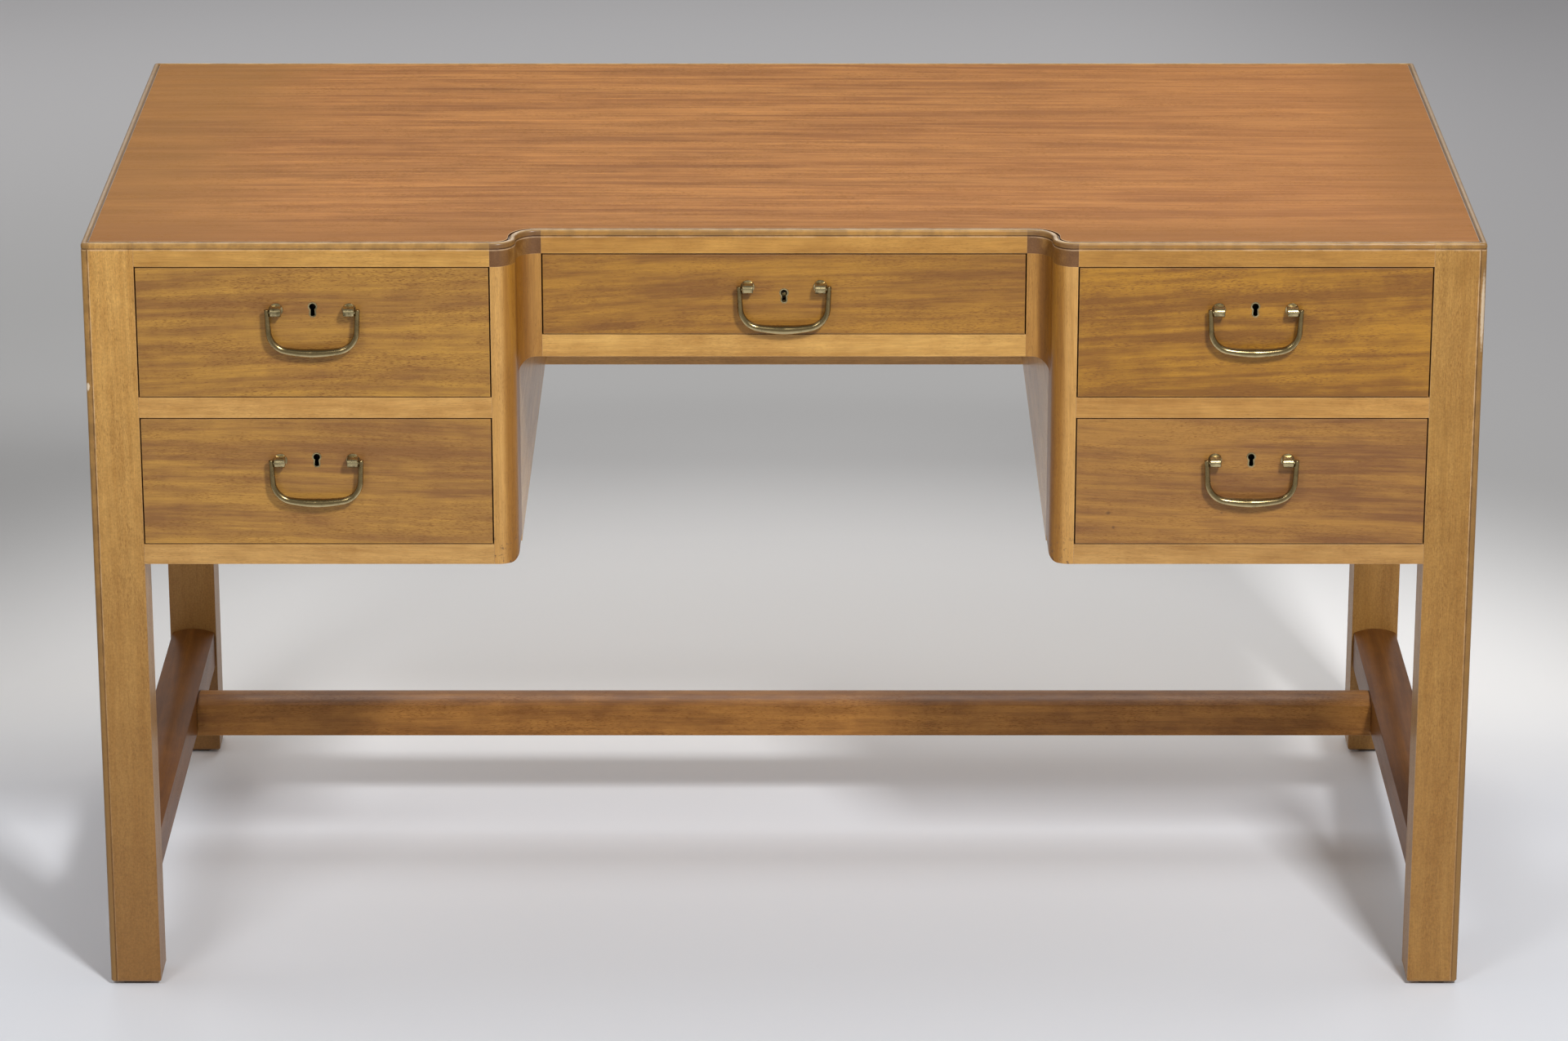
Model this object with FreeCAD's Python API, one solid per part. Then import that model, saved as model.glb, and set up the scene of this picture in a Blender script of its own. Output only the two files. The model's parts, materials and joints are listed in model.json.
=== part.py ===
import FreeCAD, Part
import math
import os
from FreeCAD import Vector

# Kneehole writing desk in mahogany with brass drop handles.
# Millimetres. +Z is up, the drawers face -Y, and the origin is on the floor under the middle of the desk,
# with the handles counted in.

# Case
case_width = 1280.0
case_depth = 650.0
case_height = 735.0
leg_side = 47.5
end_panel_thickness = 20.0
top_rail_height = 22.3
upper_opening_height = 125.1
middle_rail_height = 19.6
lower_opening_height = 123.2
bottom_rail_height = 19.3
centre_opening_height = 78.0
centre_rail_height = 21.2
top_rail_depth = 22.0
drawer_rail_depth = 40.0

# Kneehole and the S-shaped corner of the front, seen from above
kneehole_half_width = 245.5
inner_panel_thickness = 22.8
corner_return = 22.4
recess_depth = 43.5
nose_radius = 19.0
hollow_radius = 19.0
post_fillet_radius = 15.0
post_toe_radius = 8.0

# Moulded rim and the bead on the legs
corner_radius = 3.0
bead_width = 5.0
bead_radius = 2.4
bead_inner_bevel = 1.2
rim_quirk_width = 1.4
rim_quirk_depth = 1.7
quirk_width = 1.0
quirk_depth = 0.9
top_panel_thickness = 14.0

# Back
back_rail_thickness = 20.0
back_top_rail_height = 22.3
back_bottom_rail_height = 20.5
back_bottom_rail_drop = 6.0
back_panel_thickness = 12.0
back_panel_setback = 5.0
groove_depth = 6.0

# Joints between fixed pieces
glue_gap = 0.05
tenon_length = 24.0
tenon_thickness = 9.0
tenon_shoulder = 4.0
rail_tenon_setback = 9.0
tongue_thickness = 8.0
tongue_length = 8.0

# Feet and stretchers
glide_side = 34.0
glide_thickness = 3.0
glide_chamfer = 6.0
foot_chamfer = 2.0
stretcher_width = 43.5
stretcher_crown = 4.8
side_stretcher_bottom = 98.0
side_stretcher_shoulder_height = 36.7
side_stretcher_inset = 2.0
centre_stretcher_bottom = 94.0
centre_stretcher_shoulder_height = 32.5
centre_stretcher_setback = 412.0
stretcher_tenon_thickness = 12.0
stretcher_tenon_shoulder = 6.0

# Runners, guides, kickers and stops
runner_width = 18.0
guide_height = 12.0
stop_length = 30.0
stop_depth = 12.0
stop_height = 5.0
stop_inset = 45.0

# Drawers
front_thickness = 20.0
front_gap = 1.2
front_bottom_gap = 0.9
running_gap = 0.4
side_top_gap = 3.0
side_thickness = 11.0
box_back_thickness = 10.0
box_back_drop = 6.0
box_back_inset = 12.0
box_bottom_thickness = 6.0
box_bottom_rise = 9.0
box_groove_depth = 5.0
drawer_back_gap = 12.0
dovetail_lap = 6.0
dovetail_tip_width = 24.0
dovetail_slope_share = 1.0 / 7.0
dovetail_width_share = 0.7
dovetail_pitch_limit = 42.0

# Lock and keyhole, measured from the centre of the keyhole
key_drop = 39.5
keyhole_head_radius = 3.1
keyhole_waist_half_width = 1.75
keyhole_foot_half_width = 2.1
keyhole_half_height = 5.95
keyhole_foot_round = 0.9
liner_wall = 1.1
lock_case_half_width = 22.0
lock_case_below = 13.5
lock_setback = 6.5
lock_plate_half_width = 30.0
lock_plate_thickness = 1.5
selvedge_setback = 4.5
key_chamber_half_width = 10.0
bolt_half_width = 9.0
bolt_thickness = 5.0
bolt_setback = 9.0
bolt_bottom_rise = 11.5
bolt_top_drop = 0.3
bolt_travel = 6.5
bolt_gap = 0.3

# Drop handle: two posts and the bail that swings on its own pins
pedestal_pivot_drop = 39.5
centre_pivot_drop = 30.5
post_standoff = 8.0
post_flange_radius = 6.5
post_flange_thickness = 1.5
barrel_radius = 4.7
barrel_length = 10.0
barrel_gap = 0.5
bail_drop = 39.3
bail_grip_radius = 4.5
bail_bar_radius = 2.45
bail_pin_radius = 1.5
bail_pin_reach = 5.0
bail_pin_gap = 0.15
bail_grip_arc_radius = 142.0
bail_grip_half_angle = 9.7
bail_corner_radius = 19.7
bail_side_lean = 3.0
bail_grip_steps = 2
bail_corner_steps = 4

# Small brass rounds are prisms with this many sides, so that five handles stay light
small_round_sides = 12

# Overrun of cutting shapes past the faces that they cut
overrun = 5.0

handle_projection = post_standoff + barrel_radius * math.cos(math.pi / small_round_sides)
front_y = (handle_projection - case_depth) / 2
back_y = front_y + case_depth
half_width = case_width / 2
leg_inner_x = half_width - leg_side
panel_x = kneehole_half_width + inner_panel_thickness
centre_opening_half_width = kneehole_half_width - corner_return
recess_y = front_y + recess_depth
post_back_y = recess_y + top_rail_depth
top_rail_z = case_height - top_rail_height
middle_rail_top_z = top_rail_z - upper_opening_height
middle_rail_z = middle_rail_top_z - middle_rail_height
bottom_rail_top_z = middle_rail_z - lower_opening_height
pedestal_z = bottom_rail_top_z - bottom_rail_height
centre_rail_top_z = top_rail_z - centre_opening_height
centre_rail_z = centre_rail_top_z - centre_rail_height
panel_bed_z = case_height - top_panel_thickness
rim_width = bead_width + rim_quirk_width
quirk_z = case_height - bead_width - quirk_width
back_panel_y = back_y - back_panel_setback - back_panel_thickness
inner_back_y = back_y - back_rail_thickness
back_bottom_rail_z = pedestal_z - back_bottom_rail_drop

nodes = {}


def add(name, *solids):
    nodes[name] = list(solids)


def block(x0, x1, y0, y1, z0, z1):
    return Part.makeBox(x1 - x0, y1 - y0, z1 - z0, Vector(x0, y0, z0))


def grown(x0, x1, y0, y1, z0, z1, gap):
    return block(x0 - gap, x1 + gap, y0 - gap, y1 + gap, z0 - gap, z1 + gap)


def mirrored(shape):
    return shape.mirror(Vector(0, 0, 0), Vector(1, 0, 0))


def rod(start, direction, radius, length):
    return Part.makeCylinder(radius, length, start, direction)


def closed(points):
    return Part.makePolygon(points + points[:1])


def prism(points, direction):
    return Part.Face(closed(points)).extrude(direction)


def ring_points(centre, first, second, radius):
    """The corners of a many-sided round in the plane of two unit directions."""
    points = []
    for side in range(small_round_sides):
        angle = 2 * math.pi * (side + 0.5) / small_round_sides
        points.append(centre + first * (radius * math.cos(angle)) + second * (radius * math.sin(angle)))
    return points


def add_pair(name, right):
    """The right-hand piece as built and the left-hand one as its mirror image."""
    add(name + "_right", right)
    add(name + "_left", mirrored(right))


# Outline of the case seen from above, moved inwards by an inset

def plan_arc(x, y, radius, start, end):
    def at(angle):
        return Vector(x + radius * math.cos(angle), y + radius * math.sin(angle), 0)
    return Part.Arc(at(start), at((start + end) / 2), at(end)).toShape()


def plan_line(x0, y0, x1, y1):
    return Part.LineSegment(Vector(x0, y0, 0), Vector(x1, y1, 0)).toShape()


def plan_wire(inset):
    """Rounded nose, hollow and recess on the front, small radii at the four corners."""
    quarter = math.pi / 2
    hollow = hollow_radius + inset
    nose = nose_radius - inset
    corner = max(corner_radius - inset, 0)
    hollow_x = kneehole_half_width - hollow_radius
    hollow_y = recess_y - hollow_radius
    nose_x = kneehole_half_width + nose_radius
    nose_y = front_y + nose_radius
    face_x = kneehole_half_width + inset
    side_x = half_width - inset
    low_y = front_y + inset
    high_y = back_y - inset
    right = [
        plan_arc(hollow_x, hollow_y, hollow, quarter, 0),
        plan_line(face_x, hollow_y, face_x, nose_y),
        plan_arc(nose_x, nose_y, nose, 2 * quarter, 3 * quarter),
        plan_line(nose_x, low_y, side_x - corner, low_y),
        plan_line(side_x, low_y + corner, side_x, high_y - corner),
    ]
    if corner > 0:
        right.append(plan_arc(side_x - corner, low_y + corner, corner, -quarter, 0))
        right.append(plan_arc(side_x - corner, high_y - corner, corner, 0, quarter))
    middle = [
        plan_line(-hollow_x, recess_y + inset, hollow_x, recess_y + inset),
        plan_line(side_x - corner, high_y, corner - side_x, high_y),
    ]
    edges = right + [mirrored(edge) for edge in right] + middle
    return Part.Wire(Part.sortEdges(edges)[0])


def plan_solid(inset, z0, z1):
    solid = Part.Face(plan_wire(inset)).extrude(Vector(0, 0, z1 - z0))
    solid.translate(Vector(0, 0, z0))
    return solid


def case_blank():
    """The whole case as one moulded block, from which legs, rails and blocks are cut."""
    blank = plan_solid(0, 0, case_height)
    arris = [edge for edge in blank.Edges
             if all(abs(vertex.Z - case_height) < glue_gap for vertex in edge.Vertexes)]
    blank = blank.makeFillet(bead_radius, arris)
    bed = plan_solid(rim_width, panel_bed_z, case_height + overrun)
    top_quirk = plan_solid(bead_width, case_height - rim_quirk_depth, case_height + overrun)
    face_quirk = plan_solid(-overrun, quirk_z, quirk_z + quirk_width).cut(
        plan_solid(quirk_depth, quirk_z, quirk_z + quirk_width))
    blank = blank.cut([bed, top_quirk, face_quirk])
    within_bead = plan_solid(bead_width - glue_gap, case_height - glue_gap, case_height + glue_gap)
    inner_arris = [edge for edge in blank.Edges
                   if all(within_bead.isInside(vertex.Point, glue_gap / 2, True) for vertex in edge.Vertexes)]
    return blank.makeChamfer(bead_inner_bevel, inner_arris)


BLANK = case_blank()


def from_blank(x0, x1, y0, y1, z0, z1):
    return BLANK.common(block(x0, x1, y0, y1, z0, z1))


# Tenons and tongues, each with the mortise that takes it

mortises = []


def tenon(x0, x1, y0, y1, z0, z1):
    """A tenon or tongue, and its mortise with a glue gap all round, noted for both sides of the desk."""
    socket = grown(x0, x1, y0, y1, z0, z1, glue_gap)
    mortises.append(socket)
    mortises.append(mirrored(socket))
    return block(x0, x1, y0, y1, z0, z1)


def mortised(shape):
    near = [socket for socket in mortises if socket.BoundBox.intersect(shape.BoundBox)]
    return shape.cut(near)


def rail_tenons(x0, x1, y0, z0, z1, ends):
    """Stub tenons at the named ends of a rail whose front face is at y0."""
    low_y = y0 + rail_tenon_setback
    shapes = []
    for end in ends:
        low_x = x1 if end == "outer" else x0 - tenon_length / 2
        high_x = x1 + tenon_length if end == "outer" else x0
        shapes.append(tenon(low_x, high_x, low_y, low_y + tenon_thickness,
                            z0 + tenon_shoulder, z1 - tenon_shoulder))
    return shapes


# Rails over and under the drawers

def bolt_mortise(x, y0, z):
    """The slot in a rail's underside that the lock bolt rises into."""
    bolt_y = y0 + bolt_setback
    return grown(x - bolt_half_width, x + bolt_half_width, bolt_y, bolt_y + bolt_thickness,
                 z - overrun, z + bolt_travel, bolt_gap)


pedestal_x = (panel_x + leg_inner_x) / 2


def front_rails():
    top = from_blank(panel_x, leg_inner_x, front_y, front_y + top_rail_depth, top_rail_z, case_height)
    add_pair("top_rail", top.cut(bolt_mortise(pedestal_x, front_y, top_rail_z)))

    rail_back_y = front_y + drawer_rail_depth
    middle = block(panel_x, leg_inner_x, front_y, rail_back_y, middle_rail_z, middle_rail_top_z)
    middle = middle.fuse(rail_tenons(panel_x, leg_inner_x, front_y, middle_rail_z, middle_rail_top_z,
                                     ["outer", "inner"]))
    add_pair("middle_rail", middle.cut(bolt_mortise(pedestal_x, front_y, middle_rail_z)))

    bottom = block(panel_x, leg_inner_x, front_y, rail_back_y, pedestal_z, bottom_rail_top_z)
    add_pair("bottom_rail", bottom.fuse(rail_tenons(panel_x, leg_inner_x, front_y, pedestal_z,
                                                    bottom_rail_top_z, ["outer", "inner"])))

    x = centre_opening_half_width
    top = from_blank(-x, x, recess_y, post_back_y, top_rail_z, case_height)
    add("top_rail_centre", top.cut(bolt_mortise(0, recess_y, top_rail_z)))

    rail = block(-x, x, recess_y, post_back_y, centre_rail_z, centre_rail_top_z)
    low_y = recess_y + rail_tenon_setback
    stub = tenon(x, x + tenon_length / 2, low_y, low_y + tenon_thickness,
                 centre_rail_z + tenon_shoulder, centre_rail_top_z - tenon_shoulder)
    add("centre_rail", rail.fuse([stub, mirrored(stub)]))


# The S-shaped corner: a post in long grain and an end-grain block over it that carries the rim

def curved_corner():
    x = centre_opening_half_width
    end_grain = from_blank(x, panel_x, front_y, post_back_y, top_rail_z, case_height)
    add("curved_blocks", end_grain, mirrored(end_grain))

    upper = from_blank(x, panel_x, front_y, post_back_y, centre_rail_z, top_rail_z)
    lower = from_blank(kneehole_half_width, panel_x, front_y, post_back_y, pedestal_z, centre_rail_z)
    web_x = kneehole_half_width - post_fillet_radius
    web_z = centre_rail_z - post_fillet_radius
    web = from_blank(web_x, kneehole_half_width, front_y, post_back_y, web_z, centre_rail_z)
    web = web.cut(rod(Vector(web_x, front_y - overrun, web_z), Vector(0, 1, 0), post_fillet_radius,
                      post_back_y - front_y + 2 * overrun))
    toe_x = kneehole_half_width + post_toe_radius
    toe_z = pedestal_z + post_toe_radius
    toe = block(kneehole_half_width - overrun, toe_x, front_y - overrun, post_back_y + overrun,
                pedestal_z - overrun, toe_z)
    toe = toe.cut(rod(Vector(toe_x, front_y - 2 * overrun, toe_z), Vector(0, 1, 0), post_toe_radius,
                      post_back_y - front_y + 4 * overrun))
    post = upper.fuse([lower, web]).removeSplitter().cut(toe)
    add_pair("curved_post", mortised(post))


# Legs, feet and stretchers

def crowned_bar(width, shoulder, length):
    """A bar along +Y from the origin, flat below and gently arched on top, centred on x = 0."""
    half = width / 2
    low_left = Vector(-half, 0, 0)
    low_right = Vector(half, 0, 0)
    high_left = Vector(-half, 0, shoulder)
    high_right = Vector(half, 0, shoulder)
    crest = Vector(0, 0, shoulder + stretcher_crown)
    wire = Part.Wire([
        Part.LineSegment(low_left, low_right).toShape(),
        Part.LineSegment(low_right, high_right).toShape(),
        Part.Arc(high_right, crest, high_left).toShape(),
        Part.LineSegment(high_left, low_left).toShape(),
    ])
    return Part.Face(wire).extrude(Vector(0, length, 0))


side_stretcher_x = half_width - side_stretcher_inset - stretcher_width / 2


def stretchers():
    start_y = front_y + leg_side
    end_y = back_y - leg_side
    side = crowned_bar(stretcher_width, side_stretcher_shoulder_height, end_y - start_y)
    side.translate(Vector(side_stretcher_x, start_y, side_stretcher_bottom))
    half = stretcher_tenon_thickness / 2
    low_z = side_stretcher_bottom + stretcher_tenon_shoulder
    high_z = side_stretcher_bottom + side_stretcher_shoulder_height - stretcher_tenon_shoulder
    stubs = [
        tenon(side_stretcher_x - half, side_stretcher_x + half, low_y, low_y + tenon_length, low_z, high_z)
        for low_y in (start_y - tenon_length, end_y)
    ]
    side = side.fuse(stubs)

    inner_x = side_stretcher_x - stretcher_width / 2
    bar = crowned_bar(stretcher_width, centre_stretcher_shoulder_height, 2 * inner_x)
    bar.rotate(Vector(0, 0, 0), Vector(0, 0, 1), -90)
    centre_y = front_y + centre_stretcher_setback + stretcher_width / 2
    bar.translate(Vector(-inner_x, centre_y, centre_stretcher_bottom))
    low_z = centre_stretcher_bottom + stretcher_tenon_shoulder
    high_z = centre_stretcher_bottom + centre_stretcher_shoulder_height - stretcher_tenon_shoulder
    stub = tenon(inner_x, inner_x + tenon_length, centre_y - half, centre_y + half, low_z, high_z)
    add_pair("side_stretcher", side.cut(grown(inner_x, inner_x + tenon_length, centre_y - half,
                                              centre_y + half, low_z, high_z, glue_gap)))
    add("centre_stretcher", bar.fuse([stub, mirrored(stub)]))


def leg_quirks(outer_y, inward):
    """Two upright grooves that part the bead from the leg's two outer faces."""
    x1 = half_width - bead_width
    y0 = outer_y + inward * bead_width
    y1 = y0 + inward * quirk_width
    on_face = block(x1 - quirk_width, x1, min(outer_y - inward * overrun, outer_y + inward * quirk_depth),
                    max(outer_y - inward * overrun, outer_y + inward * quirk_depth), 0, quirk_z)
    on_side = block(half_width - quirk_depth, half_width + overrun, min(y0, y1), max(y0, y1), 0, quirk_z)
    return [on_face, on_side]


def leg(y0, y1, outer_y, inward):
    shaft = from_blank(leg_inner_x, half_width, y0, y1, glide_thickness, case_height)
    sole = [edge for edge in shaft.Edges
            if all(abs(vertex.Z - glide_thickness) < glue_gap for vertex in edge.Vertexes)]
    shaft = shaft.makeChamfer(foot_chamfer, sole)
    return mortised(shaft.cut(leg_quirks(outer_y, inward)))


def legs():
    add_pair("front_leg", leg(front_y, front_y + leg_side, front_y, 1))
    add_pair("back_leg", leg(back_y - leg_side, back_y, back_y, -1))


def foot_glides():
    pads = []
    half = glide_side / 2
    for side in (1, -1):
        x = side * (half_width - leg_side / 2)
        for y in (front_y + leg_side / 2, back_y - leg_side / 2):
            pad = block(x - half, x + half, y - half, y + half, 0, glide_thickness)
            upright = [edge for edge in pad.Edges if edge.BoundBox.ZLength > glide_thickness / 2]
            pads.append(pad.makeChamfer(glide_chamfer, upright))
    add("foot_glides", *pads)


# Panels

def panels():
    inset = rim_width + glue_gap
    add("top_panel", plan_solid(inset, panel_bed_z, case_height))

    x0 = half_width - end_panel_thickness
    y0 = front_y + leg_side
    y1 = back_y - leg_side
    end = from_blank(x0, half_width, y0, y1, pedestal_z, case_height)
    tongue_x = x0 + (end_panel_thickness - tongue_thickness) / 2
    tongues = [
        tenon(tongue_x, tongue_x + tongue_thickness, low_y, low_y + tongue_length, pedestal_z,
              panel_bed_z - tongue_length)
        for low_y in (y0 - tongue_length, y1)
    ]
    add_pair("end_panel", end.fuse(tongues))

    inner = block(kneehole_half_width, panel_x, post_back_y, inner_back_y, pedestal_z, panel_bed_z)
    add_pair("inner_panel", inner)

    top_z = case_height - back_top_rail_height
    low_z = back_bottom_rail_z + back_bottom_rail_height
    panel_box = (-leg_inner_x - groove_depth, leg_inner_x + groove_depth, back_panel_y,
                 back_panel_y + back_panel_thickness, low_z - groove_depth, top_z + groove_depth)
    groove = grown(*panel_box, glue_gap)
    mortises.append(groove)
    add("back_panel", block(*panel_box))
    upper = from_blank(-leg_inner_x, leg_inner_x, inner_back_y, back_y, top_z, case_height)
    add("back_top_rail", upper.cut(groove))
    lower = block(-leg_inner_x, leg_inner_x, inner_back_y, back_y, back_bottom_rail_z, low_z)
    add("back_bottom_rail", lower.cut(groove))


# What carries and guides the drawers

def side_strip(x0, x1, y0, z0, z1):
    return block(x0, x1, y0, inner_back_y, z0, z1)


def pedestal_tracks(z0, z1):
    """Inner and outer runner of one pedestal drawer, the outer one with its guide behind the leg."""
    rail_back_y = front_y + drawer_rail_depth
    wall_x = half_width - end_panel_thickness
    behind_leg_y = front_y + leg_side
    before_leg_y = back_y - leg_side
    inner = side_strip(panel_x, panel_x + runner_width, rail_back_y, z0, z1)
    outer = side_strip(leg_inner_x - runner_width, leg_inner_x, rail_back_y, z0, z1)
    filler = block(leg_inner_x, wall_x, behind_leg_y, before_leg_y, z0, z1 + guide_height)
    return [inner, outer.fuse(filler).removeSplitter()]


def drawer_runners():
    right = pedestal_tracks(middle_rail_z, middle_rail_top_z)
    right += pedestal_tracks(pedestal_z, bottom_rail_top_z)
    x = centre_opening_half_width
    runner = side_strip(x - runner_width, kneehole_half_width, post_back_y, centre_rail_z,
                        centre_rail_top_z)
    guide = side_strip(x, kneehole_half_width, post_back_y, centre_rail_top_z,
                       centre_rail_top_z + guide_height)
    right.append(runner.fuse(guide).removeSplitter())
    add("drawer_runners", *right, *[mirrored(solid) for solid in right])


def drawer_kickers():
    """Strips under the top panel that keep an open drawer from tipping."""
    outer = side_strip(leg_inner_x - runner_width, leg_inner_x, front_y + top_rail_depth, top_rail_z,
                       panel_bed_z)
    filler = block(leg_inner_x, half_width - end_panel_thickness, front_y + leg_side, back_y - leg_side,
                   top_rail_z, panel_bed_z)
    right = [
        side_strip(panel_x, panel_x + runner_width, post_back_y, top_rail_z, panel_bed_z),
        outer.fuse(filler).removeSplitter(),
        side_strip(centre_opening_half_width - runner_width, kneehole_half_width, post_back_y, top_rail_z,
                   panel_bed_z),
    ]
    add("drawer_kickers", *right, *[mirrored(solid) for solid in right])


def drawer_stops():
    """Small blocks on the rails that the drawer fronts close against."""
    def pair(x0, x1, y0, z):
        y = y0 + front_thickness + running_gap
        return [block(x, x + stop_length, y, y + stop_depth, z, z + stop_height)
                for x in (x0 + stop_inset, x1 - stop_inset - stop_length)]
    stops = []
    for z in (middle_rail_top_z, bottom_rail_top_z):
        right = pair(panel_x, leg_inner_x, front_y, z)
        stops += right + [mirrored(solid) for solid in right]
    add("drawer_stops", *stops)


# Drawers

def keyhole(x, z, y0, length, grow):
    """A round head over a flared foot, extruded along +Y."""
    head = keyhole_head_radius + grow
    waist = keyhole_waist_half_width + grow
    foot = keyhole_foot_half_width + grow
    head_z = z + keyhole_half_height - keyhole_head_radius
    low_z = z - keyhole_half_height + keyhole_foot_round
    bottom_z = z - keyhole_half_height - grow
    neck = math.asin(waist / head)
    points = []
    for side in range(small_round_sides + 1):
        angle = neck + 2 * (math.pi - neck) * side / small_round_sides
        points.append(Vector(x + head * math.sin(angle), y0, head_z - head * math.cos(angle)))
    points += [Vector(x - foot, y0, low_z), Vector(x - foot / 2, y0, bottom_z),
               Vector(x + foot / 2, y0, bottom_z), Vector(x + foot, y0, low_z)]
    return prism(points, Vector(0, length, 0))


def dovetails(x0, x1, y0, z0, z1, grow):
    """The tails on a drawer side's front end, wider towards the drawer's face."""
    tip_y = y0 + dovetail_lap - grow
    root_y = y0 + front_thickness
    reach = root_y - tip_y
    count = max(int((z1 - z0) // dovetail_pitch_limit), 1) + 1
    pitch = (z1 - z0) / count
    tip = min(dovetail_tip_width, pitch * dovetail_width_share) / 2 + grow
    tails = []
    for index in range(count):
        z = z0 + pitch / 2 + index * pitch
        root = tip - reach * dovetail_slope_share
        points = [Vector(x0 - grow, root_y, z - root), Vector(x0 - grow, tip_y, z - tip),
                  Vector(x0 - grow, tip_y, z + tip), Vector(x0 - grow, root_y, z + root)]
        tails.append(prism(points, Vector(x1 - x0 + 2 * grow, 0, 0)))
    return tails


def lock_parts(x, y0, z_key, z_top):
    """Lock case with selvedge and key space, the keyhole liner, the bolt and the wood to cut away."""
    back = y0 + front_thickness
    case = (x - lock_case_half_width, x + lock_case_half_width, y0 + lock_setback,
            back - lock_plate_thickness, z_key - lock_case_below, z_top)
    plate = (x - lock_plate_half_width, x + lock_plate_half_width, back - lock_plate_thickness, back,
             z_key - lock_case_below, z_top)
    selvedge = (x - lock_plate_half_width, x + lock_plate_half_width, y0 + selvedge_setback, back,
                z_top - lock_plate_thickness, z_top)
    lock = block(*case).fuse([block(*plate), block(*selvedge)]).removeSplitter()
    wood = grown(*case, glue_gap).fuse([grown(*plate, glue_gap), grown(*selvedge, glue_gap)])

    bolt_y = y0 + bolt_setback
    bolt = (x - bolt_half_width, x + bolt_half_width, bolt_y, bolt_y + bolt_thickness,
            z_key + bolt_bottom_rise, z_top - bolt_top_drop)
    channel = block(bolt[0] - bolt_gap, bolt[1] + bolt_gap, bolt[2] - bolt_gap, bolt[3] + bolt_gap,
                    bolt[4] - bolt_gap, z_top + overrun)
    chamber = block(x - key_chamber_half_width, x + key_chamber_half_width, y0 + lock_setback - overrun,
                    bolt[3] + bolt_gap, z_key - key_chamber_half_width, z_key + key_chamber_half_width)
    lock = lock.cut([channel, chamber])

    liner = keyhole(x, z_key, y0, lock_setback, liner_wall).cut(keyhole(x, z_key, y0, lock_setback, 0))
    bore = keyhole(x, z_key, y0 - overrun, lock_setback + 2 * overrun, liner_wall + glue_gap)
    return lock, liner, block(*bolt), wood.fuse(bore)


def drawer_box(x0, x1, y0, z0, z1, end_y):
    """Two sides, back and bottom. The bottom slides in grooves and passes under the back."""
    front_back_y = y0 + front_thickness
    floor_z = z0 + box_bottom_rise
    bottom_x0 = x0 + side_thickness - box_groove_depth
    bottom = (bottom_x0, x1 + x0 - bottom_x0, front_back_y - box_groove_depth, end_y, floor_z,
              floor_z + box_bottom_thickness)
    back_y0 = end_y - box_back_inset - box_back_thickness
    back = (bottom_x0, x1 + x0 - bottom_x0, back_y0, back_y0 + box_back_thickness,
            floor_z + box_bottom_thickness + glue_gap, z1 - box_back_drop)
    grooves = [grown(*bottom, glue_gap), grown(*back, glue_gap)]
    sides = []
    for side_x in (x0, x1 - side_thickness):
        side = block(side_x, side_x + side_thickness, front_back_y, end_y, z0, z1)
        side = side.fuse(dovetails(side_x, side_x + side_thickness, y0, z0, z1, 0))
        sides.append(side.cut(grooves))
    return sides + [block(*back), block(*bottom)], grown(*bottom, glue_gap)


def drawer(name, x0, x1, y0, z0, z1, pivot_drop):
    """One drawer in its opening, with its lock and handle."""
    left = x0 + front_gap
    right = x1 - front_gap
    top_z = z1 - front_gap
    side_z0 = z0 + running_gap
    side_z1 = z1 - side_top_gap
    x = (x0 + x1) / 2
    end_y = back_panel_y - drawer_back_gap
    board = block(left, right, y0, y0 + front_thickness, z0 + front_bottom_gap, top_z)
    box, floor_groove = drawer_box(left, right, y0, side_z0, side_z1, end_y)
    lock, liner, bolt, lock_wood = lock_parts(x, y0, top_z - key_drop, top_z)
    sockets = [lock_wood, floor_groove]
    for side_x in (left, right - side_thickness):
        sockets += dovetails(side_x, side_x + side_thickness, y0, side_z0, side_z1, glue_gap)
    add(name + "_front", board.cut(sockets))
    add(name + "_box", *box)
    add(name + "_lock", lock, liner)
    add(name + "_bolt", bolt)
    add(name + "_handle_posts", *handle_posts(x, y0, top_z - pivot_drop))
    add(name + "_bail", bail(x, y0 - post_standoff, top_z - pivot_drop))


# Drop handle

def bail_half_path():
    """Centre line of half the bail as (x, z, heading, share of the way from grip to bar)."""
    grip_angle = math.radians(bail_grip_half_angle)
    side_angle = math.radians(90 - bail_side_lean)
    stations = []
    for step in range(bail_grip_steps + 1):
        angle = grip_angle * step / bail_grip_steps
        stations.append((bail_grip_arc_radius * math.sin(angle),
                         bail_grip_arc_radius * (1 - math.cos(angle)) - bail_drop, angle))
    centre_x = stations[-1][0] - bail_corner_radius * math.sin(grip_angle)
    centre_z = stations[-1][1] + bail_corner_radius * math.cos(grip_angle)
    for step in range(1, bail_corner_steps + 1):
        angle = grip_angle + (side_angle - grip_angle) * step / bail_corner_steps
        stations.append((centre_x + bail_corner_radius * math.sin(angle),
                         centre_z - bail_corner_radius * math.cos(angle), angle))
    x, z, angle = stations[-1]
    stations.append((x - z / math.tan(angle), 0, angle))
    return stations


BAIL_PATH = bail_half_path()
bail_half_width = BAIL_PATH[-1][0]
barrel_outer_x = bail_half_width - bail_bar_radius - barrel_gap
barrel_inner_x = barrel_outer_x - barrel_length


def bail_section(x, z, angle, radius):
    across = Vector(-math.sin(angle), 0, math.cos(angle))
    return closed(ring_points(Vector(x, 0, z), Vector(0, 1, 0), across, radius))


def pin(start, reach, radius):
    return prism(ring_points(start, Vector(0, 1, 0), Vector(0, 0, 1), radius), Vector(reach, 0, 0))


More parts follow.
